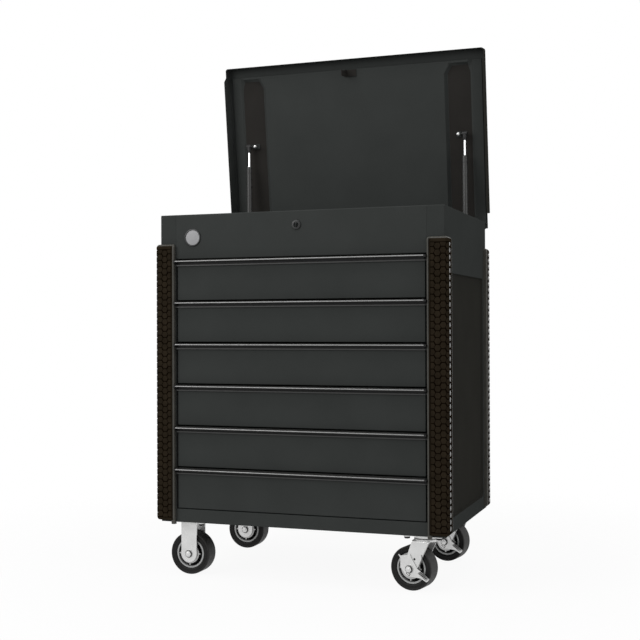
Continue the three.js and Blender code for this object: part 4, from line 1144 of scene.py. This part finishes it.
def strut(word):
    foot = Vector(joints["strut_pivot_" + word]["pos_m"])
    below = Vector((0, foot.y, foot.z))
    lean = math.asin(-joints["strut_rod_" + word + "_slide"]["axis"][1])
    place = Matrix.Translation(foot) @ Matrix.Rotation(lean, 4, "X")
    tube = (stud_closed - below).length - tube_end_gap
    strut_tube(word, tube, place)
    strut_rod(word, tube, (stud_open - below).length, place)
    strut_foot(word, foot)
    lid_bracket(word)


# Lock, on the Y axis through the till's front panel
lock_centre = Vector(joints["lock_turn"]["pos_m"])
lock_rim = 14.2 * mm
lock_rim_thick = 3.3 * mm
lock_barrel = 9.5 * mm
lock_bore = 7.3 * mm
lock_length = 22 * mm
plug_radius = 7 * mm
key_slot = (0.9 * mm, 4 * mm)
key_slot_deep = 6 * mm
cam_thick = 3 * mm
cam_half = 6 * mm
cam_reach = 27 * mm


def lock_housing():
    thick, rim_out = lock_rim_thick, lock_rim
    form = Form().turn([
        (lock_bore, -thick + 0.6 * mm), (lock_bore + 0.5 * mm, -thick), (rim_out - 1.6 * mm, -thick),
        (rim_out - 0.5 * mm, -thick + 0.5 * mm), (rim_out, -thick + 1.5 * mm), (rim_out, -seam),
        (lock_barrel, -seam), (lock_barrel, lock_length), (lock_bore, lock_length),
    ], "Y", lock_centre, 48, ring=True)
    piece("lock_body", form, "cabinet", [lock_black], ["lock_housing"])


def lock_plug():
    """The plug with its key slot, and the cam on its tail."""
    nose, tail = -lock_rim_thick - 0.9 * mm, lock_length + 1 * mm
    chamfer = 0.6 * mm
    a, b = key_slot
    slot = rounded(-a, a, -b, b, 0.3 * mm, 8)
    around = [math.atan2(b, a) for a, b in slot]

    def ring(radius, along):
        return [(radius * math.cos(t), along, radius * math.sin(t)) for t in around]

    loops = [ring(plug_radius, tail), ring(plug_radius, nose + chamfer), ring(plug_radius - chamfer, nose)]
    loops += [[(a, along, b) for a, b in slot] for along in (nose, nose + key_slot_deep)]
    form = Form().loft(loops)
    form.prism(rounded(-cam_half, cam_half, -cam_half, cam_reach, 3 * mm), "Y", tail, tail + cam_thick)
    piece("lock_key_plug", form, "lock_core", [lock_plug_black], ["lock_plug"],
          place=Matrix.Translation(lock_centre))


badge_radius = 27 * mm
badge_place = Vector((-333 * mm, till_low.y, 1021 * mm))


def badge():
    """A plain round plate with a black bezel, on the till's front panel."""
    radius = badge_radius
    inner, disc = radius - 5 * mm, radius - 4.8 * mm
    bezel = [(inner, -1.2 * mm), (radius - 4.4 * mm, -2.4 * mm), (radius - 1.4 * mm, -2.6 * mm),
             (radius - 0.3 * mm, -1.8 * mm), (radius, 0.2 * mm), (inner, 0.2 * mm)]
    form = Form().turn(bezel, "Y", badge_place, 64, ring=True)
    plate = [(0, -1.5 * mm), (radius * 0.5, -1.4 * mm), (disc, -1.2 * mm), (disc, 0)]
    form.turn(plate, "Y", badge_place, 64, 1)
    piece("round_plate", form, "cabinet", [lock_black, badge_face])


# Casters
wheel_radius = 63.5 * mm
tyre_half = 25 * mm
tyre_inner = 45.4 * mm
tyre_shoulder = 3.5 * mm
tyre_ridges = (50 * mm, 55 * mm)
core_inner, core_outer = 39 * mm, 45 * mm
core_edge = 21.6 * mm
core_ribs = 12
hub_flange, hub, hub_bore = 30 * mm, 15 * mm, 6.4 * mm
hub_face = 27 * mm
hub_tabs = 4
leg_inner, leg_outer = 28 * mm, 32 * mm
leg_half = 25.5 * mm
swivel_leg_half = 22 * mm
leg_steps = 24
plate_thick = 4 * mm
plate_half = (57 * mm, 51 * mm)
plate_corner = 8 * mm
bolt_inset = 11 * mm
axle_end = 7 * mm
axle_washer, axle_washer_thick = 12.5 * mm, 1.5 * mm
race = 35.5 * mm
race_gap = 0.5 * mm
race_height = 10 * mm
pin_bore = 8 * mm
crown_drop = 4 * mm
crown_thick = 6 * mm
leg_rib = [(36 * mm, 43 * mm), (38 * mm, 28 * mm), (30 * mm, 14 * mm)]
leg_rib_wide, leg_rib_high = 2.2 * mm, 1 * mm


def caster_place(word, end):
    """The turn of a swivel caster about its king pin, and none for a rigid one."""
    if word == "rigid":
        return Matrix.Identity(4)
    pin = Vector(joints["swivel_" + end + "_turn"]["pos_m"])
    return Matrix.Translation(pin) @ Matrix.Rotation(swivel_turn, 4, "Z") @ Matrix.Translation(-pin)


def axle_of(word, end):
    """The middle of the wheel before its caster is turned."""
    low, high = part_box("tyre_" + word + "_" + end)
    return caster_place(word, end).inverted() @ ((low + high) / 2)


def tyre(word, end, body):
    """A tyre with round shoulders, a flat tread and two low ridges on each wall."""
    edge = wheel_radius - tyre_shoulder
    half = [(tyre_inner, 19.5 * mm), (tyre_inner, 22 * mm), (tyre_inner + 0.9 * mm, 23.2 * mm)]
    for radius in tyre_ridges:
        half += [(radius + across * mm, out * mm) for across, out in
                 ((-1, 23.8), (-0.5, 24.4), (0.5, 24.4), (1, 23.8))]
    half += [(edge - 1 * mm, tyre_half - 0.3 * mm)]
    half += arc(edge, tyre_half - tyre_shoulder, tyre_shoulder, 90, 15, 5)
    half += [(wheel_radius - 0.15 * mm, 20 * mm), (wheel_radius - 0.05 * mm, 10 * mm)]
    profile = both_ways(half + [(wheel_radius, 0.5 * mm)])

    def rubber(row):
        return 0 if min(profile[row][0], profile[(row + 1) % len(profile)][0]) > edge else 1

    form = Form().turn(profile, "Y", axle_of(word, end), 96, rubber, ring=True)
    piece("rubber_tyre_" + word + "_" + end, form, body, [tyre_tread, tyre_wall],
          ["tyre_" + word + "_" + end], place=caster_place(word, end))


def wheel_core(word, end, body):
    """The rim's bright ring, a web with ribs in near black as painted shade, and a grey hub plate with four
    tabs on each side.
    """
    centre = axle_of(word, end)
    about = Matrix.Translation(centre)
    inner, outer, edge = core_inner, core_outer, core_edge
    form = Form()
    ring = [(inner, 0), (inner, edge - 1.2 * mm), (inner + 1 * mm, edge), (outer - 1 * mm, edge),
            (outer, edge - 1 * mm)]
    form.turn([(r, -y) for r, y in ring] + ring[:0:-1], "Y", centre, 72, ring=True)
    root, rim_root = hub - 1 * mm, inner + 0.5 * mm
    form.turn(both_ways([(root, 9 * mm), (rim_root, 11 * mm)]), "Y", centre, 72, 1, ring=True)
    for i in range(core_ribs):
        rib = Form().box((hub, rim_root), (-16 * mm, 16 * mm), (-1.1 * mm, 1.1 * mm), 1)
        form.merge(rib, about @ Matrix.Rotation(2 * math.pi * (i + 0.5) / core_ribs, 4, "Y"))
    bore, face, back_face = hub_bore, hub_face, hub_face - 3 * mm
    step = face - 0.8 * mm
    cap = [(bore, face), (12 * mm, face), (13 * mm, step), (hub_flange - 2 * mm, step),
           (hub_flange, face - 1.6 * mm), (hub_flange, back_face), (hub, back_face), (hub, 8 * mm),
           (bore, 8 * mm)]
    for sign in (-1, 1):
        form.turn([(r, sign * y) for r, y in cap], "Y", centre, 64, 2, ring=True)
        wide = sorted((sign * back_face, sign * (face - 1.8 * mm)))
        for i in range(hub_tabs):
            tab = Form().box((hub_flange - 1 * mm, hub_flange + 4.5 * mm), wide, (-1.8 * mm, 1.8 * mm), 2)
            form.merge(tab, about @ Matrix.Rotation(2 * math.pi * i / hub_tabs, 4, "Y"))
    sleeve = hub - 0.5 * mm
    form.turn(both_ways([(bore, 9 * mm), (sleeve, 9 * mm)]), "Y", centre, 40, 1, ring=True)
    piece("wheel_centre_" + word + "_" + end, form, body, [core_grey, core_painted_shade, zinc_dull],
          ["wheel_core_" + word + "_" + end], place=caster_place(word, end))


def crown_line(crown_top, corner):
    """Over both legs and back under them, as (across, height) points; the feet's heights are open."""
    crown_low = crown_top - leg_outer + leg_inner
    small = max(corner - leg_outer + leg_inner, 0.5 * mm)
    outer = [(-leg_outer, None), (-leg_outer, crown_top - corner)]
    outer += arc(-leg_outer + corner, crown_top - corner, corner, 180, 90, 5)
    outer += arc(leg_outer - corner, crown_top - corner, corner, 90, 0, 5) + [(leg_outer, None)]
    inner = [(leg_inner, None)] + arc(leg_inner - small, crown_low - small, small, 0, 90, 4)
    inner += arc(-leg_inner + small, crown_low - small, small, 90, 180, 4) + [(-leg_inner, None)]
    return outer + inner


def fork_form(axle, half, back_x, front_x, crown_top, corner):
    """Both legs and their crown as one bent plate, round at the axle."""
    line = crown_line(crown_top, corner)
    loops = []
    for i in range(leg_steps + 1):
        t = math.pi * i / leg_steps
        share = (1 - math.cos(t)) / 2
        loop = []
        for y, z in line:
            if z is None:
                loop.append((axle.x - half * math.cos(t), axle.y + y, axle.z - half * math.sin(t)))
                continue
            rise = (z - axle.z) / (crown_top - axle.z)
            left = axle.x - half + (back_x - axle.x + half) * rise
            right = axle.x + half + (front_x - axle.x - half) * rise
            loop.append((left + (right - left) * share, axle.y + y, z))
        loops.append(loop)
    return Form().loft(loops)


def plate_form(centre, top):
    """The top plate with its corner bolts, each a black head on a zinc washer."""
    x, y = plate_half
    form = Form()
    low = top - plate_thick
    chamfer = 0.6 * mm
    loops = []
    for inset, height in ((chamfer, low), (0, low + chamfer), (0, top - chamfer), (chamfer, top)):
        outline = rounded(centre.x - x + inset, centre.x + x - inset, centre.y - y + inset,
                          centre.y + y - inset, plate_corner - inset, 8)
        loops.append([(a, b, height) for a, b in outline])
    form.loft(loops)
    washer, washer_thick = 9 * mm, 2.4 * mm
    for sx in (-1, 1):
        for sy in (-1, 1):
            place = Vector((centre.x + sx * (x - bolt_inset), centre.y + sy * (y - bolt_inset), low))
            form.turn([(0, 0), (washer, 0), (washer, -washer_thick), (0, -washer_thick)], "Z", place, 28)
            bolt_head(form, "Z", place - Vector((0, 0, washer_thick)), 15 * mm, 5.2 * mm, -1, 1, 1)
    return form


def axle_form(centre, near_gap):
    """The bolt and nut, each with its washer and its turned end."""
    form = Form()
    near, far = -leg_outer - near_gap, leg_outer + seam
    bolt, thread = 6 * mm, 5.2 * mm
    # The washers' outer faces in dark zinc, painted shade round the heads.
    face_row, shade_look = 3, 3
    form.turn([(0, near), (bolt, near), (bolt, far), (0, far)], "Y", centre, 24)
    for start, sign in ((near, -1), (far, 1)):
        outer = start + sign * axle_washer_thick
        form.turn([(0, start), (axle_washer, start), (axle_washer, outer - sign * 0.5 * mm),
                   (axle_washer - 0.6 * mm, outer), (0, outer)], "Y", centre, 36,
                  lambda row: shade_look if row == face_row else 0)
        head = axle_end - axle_washer_thick - 0.8 * mm
        # The heads' sides in near black as painted shade.
        bolt_head(form, "Y", centre + Vector((0, outer, 0)), 16.4 * mm, head, sign, 1, 2)
        tip = start + sign * axle_end
        form.turn([(0, tip), (4.4 * mm, tip), (thread, tip - sign * 0.6 * mm), (thread, tip - sign * 2 * mm)],
                  "Y", centre, 24)
    return form


def axle_piece(word, end, body, axle, near_gap):
    piece(word + "_axle_" + end, axle_form(axle, near_gap), body, [zinc, zinc, core_painted_shade, zinc_painted_shade],
          ["axle_" + word + "_" + end], place=caster_place(word, end))


def wheel(word, end):
    body = "wheel_" + word + "_" + end
    tyre(word, end, body)
    wheel_core(word, end, body)


def rigid_caster(end):
    axle = axle_of("rigid", end)
    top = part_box("fork_rigid_" + end)[1].z
    crown_top = top - plate_thick + 0.2 * mm
    form = fork_form(axle, leg_half, axle.x - leg_half, axle.x + leg_half, crown_top, 6 * mm)
    form.merge(plate_form(axle, top))
    piece("rigid_fork_" + end, form, "cabinet", [zinc, bolt_black], ["fork_rigid_" + end],
          bevel=0.6 * mm)
    axle_piece("rigid", end, "cabinet", axle, seam)
    wheel("rigid", end)


def swivel_plate(end, centre, top, upper, crown_low):
    """The plate with its upper race, and the headed king pin."""
    form = plate_form(centre, top)
    under, head = top - plate_thick, crown_low - seam
    form.turn([(pin_bore, under + 1 * mm), (race - 1.5 * mm, under + 1 * mm), (race, under - 1.4 * mm),
               (race, upper + 3.6 * mm), (race - 0.8 * mm, upper + 1.6 * mm), (race - 3 * mm, upper),
               (pin_bore, upper)], "Z", centre, 72, ring=True)
    form.turn([(0, under), (pin_bore, under), (pin_bore, head), (12.2 * mm, head), (13 * mm, head - 0.8 * mm),
               (13 * mm, head - 2.6 * mm), (11 * mm, head - 5 * mm), (7 * mm, head - 6 * mm),
               (0, head - 6 * mm)], "Z", centre, 48)
    piece("swivel_plate_" + end, form, "cabinet", [zinc, bolt_black], ["plate_swivel_" + end],
          bevel=0.3 * mm)


def swivel_fork(end, axle, centre, crown_top, crown_low):
    """The raked fork with its lower race, and a rib and a rivet on each leg, both dark as painted shade."""
    form = fork_form(axle, swivel_leg_half, centre.x - 30 * mm, centre.x + 23 * mm, crown_top, 6 * mm)
    bore = pin_bore + 0.4 * mm
    low, high = crown_low + 1 * mm, crown_top + crown_drop
    form.turn([(bore, low), (race - 6 * mm, low), (race - 2.4 * mm, crown_low + 3 * mm),
               (race, crown_top + 0.4 * mm), (race, crown_top + 2 * mm),
               (race - 1 * mm, crown_top + 3.4 * mm), (race - 3 * mm, high), (bore, high)], "Z", centre, 72,
              ring=True)
    rib = folded([(axle.x + a, axle.z + b) for a, b in leg_rib], leg_rib_wide, 3 * mm)
    rivet, proud = 3.3 * mm, 0.15 * mm
    for sign in (-1, 1):
        face = axle.y + sign * leg_outer
        form.prism(rib, "Y", *sorted((face - sign * leg_rib_high, face + sign * leg_rib_high)), 2)
        place = Vector((axle.x + 15 * mm, face, axle.z + 29 * mm))
        form.turn([(0, sign * proud), (rivet, sign * proud), (rivet, 0)], "Y", place, 20, 1)
    piece("swivel_fork_" + end, form, "swivel_" + end, [zinc, core_painted_shade, zinc_painted_shade],
          ["fork_swivel_" + end], bevel=0.6 * mm, place=caster_place("swivel", end))


def swivel_caster(end):
    axle = axle_of("swivel", end)
    pin = Vector(joints["swivel_" + end + "_turn"]["pos_m"])
    centre = Vector((pin.x, pin.y, 0))
    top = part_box("plate_swivel_" + end)[1].z
    upper = top - plate_thick - race_height
    crown_top = upper - race_gap - crown_drop
    crown_low = crown_top - crown_thick
    swivel_plate(end, centre, top, upper, crown_low)
    swivel_fork(end, axle, centre, crown_top, crown_low)
    axle_piece("swivel", end, "swivel_" + end, axle, 3.8 * mm)
    brake(end, axle)
    wheel("swivel", end)


# Brake lever, its outline in shares of its reach from the axle
lever_reach = 62 * mm
lever_thick = 3 * mm
lever_gap = 0.4 * mm
pedal_depth = 20 * mm
pedal_bed = 1.2 * mm
pad_border = 3 * mm
pad_ribs = 6
heel_shares = [(-0.45, 0.08), (-0.45, 0.48), (-0.61, 0.69), (-0.42, 0.58), (0.03, 0.68), (0.15, 0.45),
               (0.32, 0.18), (0.4, 0.05)]
toe_root_share, toe_tip_share = (0.56, -0.05), (1, -0.37)
under_toe_shares = [(0.87, -0.52), (0.56, -0.37), (0.03, -0.34), (-0.26, -0.2)]
tab_share = (-0.05, -0.22)


def pedal(length, near):
    """The folded pedal along X: a bed, its two raised ends, and a dark pad under light ribs."""
    form = Form()
    form.prism(rounded(0, length, near - pedal_depth, near + 1 * mm, 2 * mm), "Z", -lever_thick, -pedal_bed)
    wide = (near - pedal_depth + 1.5 * mm, near - 1 * mm)
    for start in (0.8 * mm, length - pad_border):
        form.box((start, start + pad_border - 0.8 * mm), wide, (-pedal_bed, 0))
    form.box((pad_border, length - pad_border), wide, (-pedal_bed, -0.8 * mm), 1)
    pitch = (length - 2 * pad_border) / pad_ribs
    for i in range(pad_ribs):
        start = pad_border + (i + 0.15) * pitch
        form.box((start, start + pitch * 0.7), wide, (-0.9 * mm, -0.1 * mm))
    return form


def brake(end, axle):
    """The flat lever with a pointed heel, and a pedal folded out along its toe with a ribbed pad."""
    near = axle.y - leg_outer - lever_gap - lever_thick

    def at(share):
        return (axle.x + share[0] * lever_reach, axle.z + share[1] * lever_reach)

    outline = [at(share) for share in heel_shares + [toe_root_share, toe_tip_share] + under_toe_shares]
    form = Form().prism(softened(outline, 3 * mm), "Y", near, near + lever_thick)
    edge = (Vector(toe_tip_share) - Vector(toe_root_share)) * lever_reach
    slope = Matrix.Rotation(-math.atan2(edge.y, edge.x), 4, "Y")
    x, z = at(toe_root_share)
    form.merge(pedal(edge.length, near), Matrix.Translation((x, 0, z)) @ slope)
    # The dark plate round the tab is painted shade.
    tab = Form().box((-6.5 * mm, 6.5 * mm), (-0.12 * mm, 0.5 * mm), (-3.6 * mm, 3.6 * mm), 1)
    tab.box((-4.6 * mm, 4.6 * mm), (-0.5 * mm, 0.5 * mm), (-2 * mm, 2 * mm))
    x, z = at(tab_share)
    form.merge(tab, Matrix.Translation((x, near, z)) @ slope)
    piece("brake_pedals_" + end, form, "brake_" + end, [zinc, bumper_rubber],
          ["brake_lever_" + end], bevel=0.5 * mm, place=caster_place("swivel", end))


# The cart
for word in hands:
    side_panel(word)
    strut(word)
    for end in ends:
        bumper(word, end)
till_front()
base_pan()
back_fasteners()
seals()
for word in hands:
    slide_rack(word)
for number in drawer_numbers:
    drawer(number)
    pull(number)
lid_shell()
lid_liner()
hinge_leaf(True)
hinge_leaf(False)
hinge_pin()
lock_housing()
lock_plug()
badge()
for end in ends:
    rigid_caster(end)
    swivel_caster(end)
dress(paint, "back_panel", "till_floor")
# The striker in the darker paint, its own colour.
dress(painted_shade_and_dark_paint, "lid_striker")


# Stage
floor_reach = 30
floor_white_share = 0.93
floor_fade = (0.7, 2.0)
world_strength = 0.48


def background_rays(nodes, links):
    """1 on the rays that show the background: the camera's, and those that gloss and glass send out."""
    path = add_node(nodes, "LightPath")
    seen = path.outputs["Is Camera Ray"]
    for other in ("Is Glossy Ray", "Is Transmission Ray"):
        either = add_node(nodes, "Math", operation="MAXIMUM")
        links.new(seen, either.inputs[0])
        links.new(path.outputs[other], either.inputs[1])
        seen = either.outputs["Value"]
    return seen


def mixed(nodes, links, share, first, second):
    """A mix of two shaders, with that share of the second."""
    mix = add_node(nodes, "MixShader")
    links.new(share, mix.inputs["Fac"])
    links.new(first, mix.inputs[1])
    links.new(second, mix.inputs[2])
    return mix.outputs["Shader"]


def floor_material():
    """Pale under the cart's shadow, nearly white where the background shows, and clear further out."""
    material, nodes, links = new_material("pale_floor")
    shader = nodes["Principled BSDF"]
    shader.inputs["Base Color"].default_value = (0.78, 0.78, 0.78, 1)
    shader.inputs["Roughness"].default_value = 0.9
    shader.inputs["Specular IOR Level"].default_value = 0.1
    white = add_node(nodes, "Emission", {"Strength": 1})
    share = add_node(nodes, "Math", {1: floor_white_share}, "MULTIPLY")
    links.new(background_rays(nodes, links), share.inputs[0])
    glow = mixed(nodes, links, share.outputs["Value"], shader.outputs["BSDF"], white.outputs["Emission"])
    distance = add_node(nodes, "VectorMath", operation="LENGTH")
    links.new(add_node(nodes, "NewGeometry").outputs["Position"], distance.inputs[0])
    fade = add_node(nodes, "MapRange", {"From Min": floor_fade[0], "From Max": floor_fade[1]})
    fade.interpolation_type = "SMOOTHSTEP"
    links.new(distance.outputs["Value"], fade.inputs["Value"])
    clear = add_node(nodes, "BsdfTransparent")
    whole = mixed(nodes, links, fade.outputs["Result"], glow, clear.outputs["BSDF"])
    links.new(whole, nodes["Material Output"].inputs["Surface"])
    return material


def floor():
    """A pale floor that keeps the cart's shadow and fades into the white behind it."""
    mesh = bpy.data.meshes.new("floor")
    corners = [(-floor_reach, -floor_reach, 0), (floor_reach, -floor_reach, 0), (floor_reach, floor_reach, 0),
               (-floor_reach, floor_reach, 0)]
    mesh.from_pydata(corners, [], [(0, 1, 2, 3)])
    mesh.materials.append(floor_material())
    made = bpy.data.objects.new("floor", mesh)
    bpy.context.scene.collection.objects.link(made)


def world():
    """White where the camera, gloss and glass look, and a softer light on everything else."""
    made = bpy.data.worlds.new("studio")
    bpy.context.scene.world = made
    made.use_nodes = True
    nodes, links = made.node_tree.nodes, made.node_tree.links
    light = nodes["Background"]
    light.inputs["Color"].default_value = (1, 1, 1, 1)
    light.inputs["Strength"].default_value = world_strength
    white = add_node(nodes, "Background", {"Color": (1, 1, 1, 1), "Strength": 1})
    seen = background_rays(nodes, links)
    whole = mixed(nodes, links, seen, light.outputs["Background"], white.outputs["Background"])
    links.new(whole, nodes["World Output"].inputs["Surface"])


def lamp(name, place, target, size, power):
    data = bpy.data.lights.new(name, "AREA")
    data.shape = "SQUARE"
    data.size = size
    data.energy = power
    made = bpy.data.objects.new(name, data)
    bpy.context.scene.collection.objects.link(made)
    made.location = place
    made.rotation_mode = "QUATERNION"
    made.rotation_quaternion = (Vector(target) - Vector(place)).to_track_quat("-Z", "Y")


def camera():
    """The photograph's view, fitted to the cabinet's corners."""
    place = Matrix.Translation((1.166, -3.361, 0.755))
    heading, upright, roll = math.radians(19.63), math.radians(90.295), math.radians(-0.2)
    data = bpy.data.cameras.new("camera")
    data.sensor_width = 36
    data.lens = 63.56
    made = bpy.data.objects.new("camera", data)
    bpy.context.scene.collection.objects.link(made)
    made.matrix_world = (place @ Matrix.Rotation(heading, 4, "Z") @ Matrix.Rotation(upright, 4, "X")
                         @ Matrix.Rotation(roll, 4, "Z"))
    bpy.context.scene.camera = made


floor()
world()
lamp("key", (-2.2, -3.0, 2.4), (0, 0, 0.8), 2.2, 66)
lamp("top", (0, -0.4, 3.4), (0, 0, 0.8), 2.4, 42)
lamp("fill", (3.0, -0.6, 1.6), (0.45, 0, 0.8), 2.0, 16)
camera()
bpy.context.scene.view_settings.view_transform = "Standard"
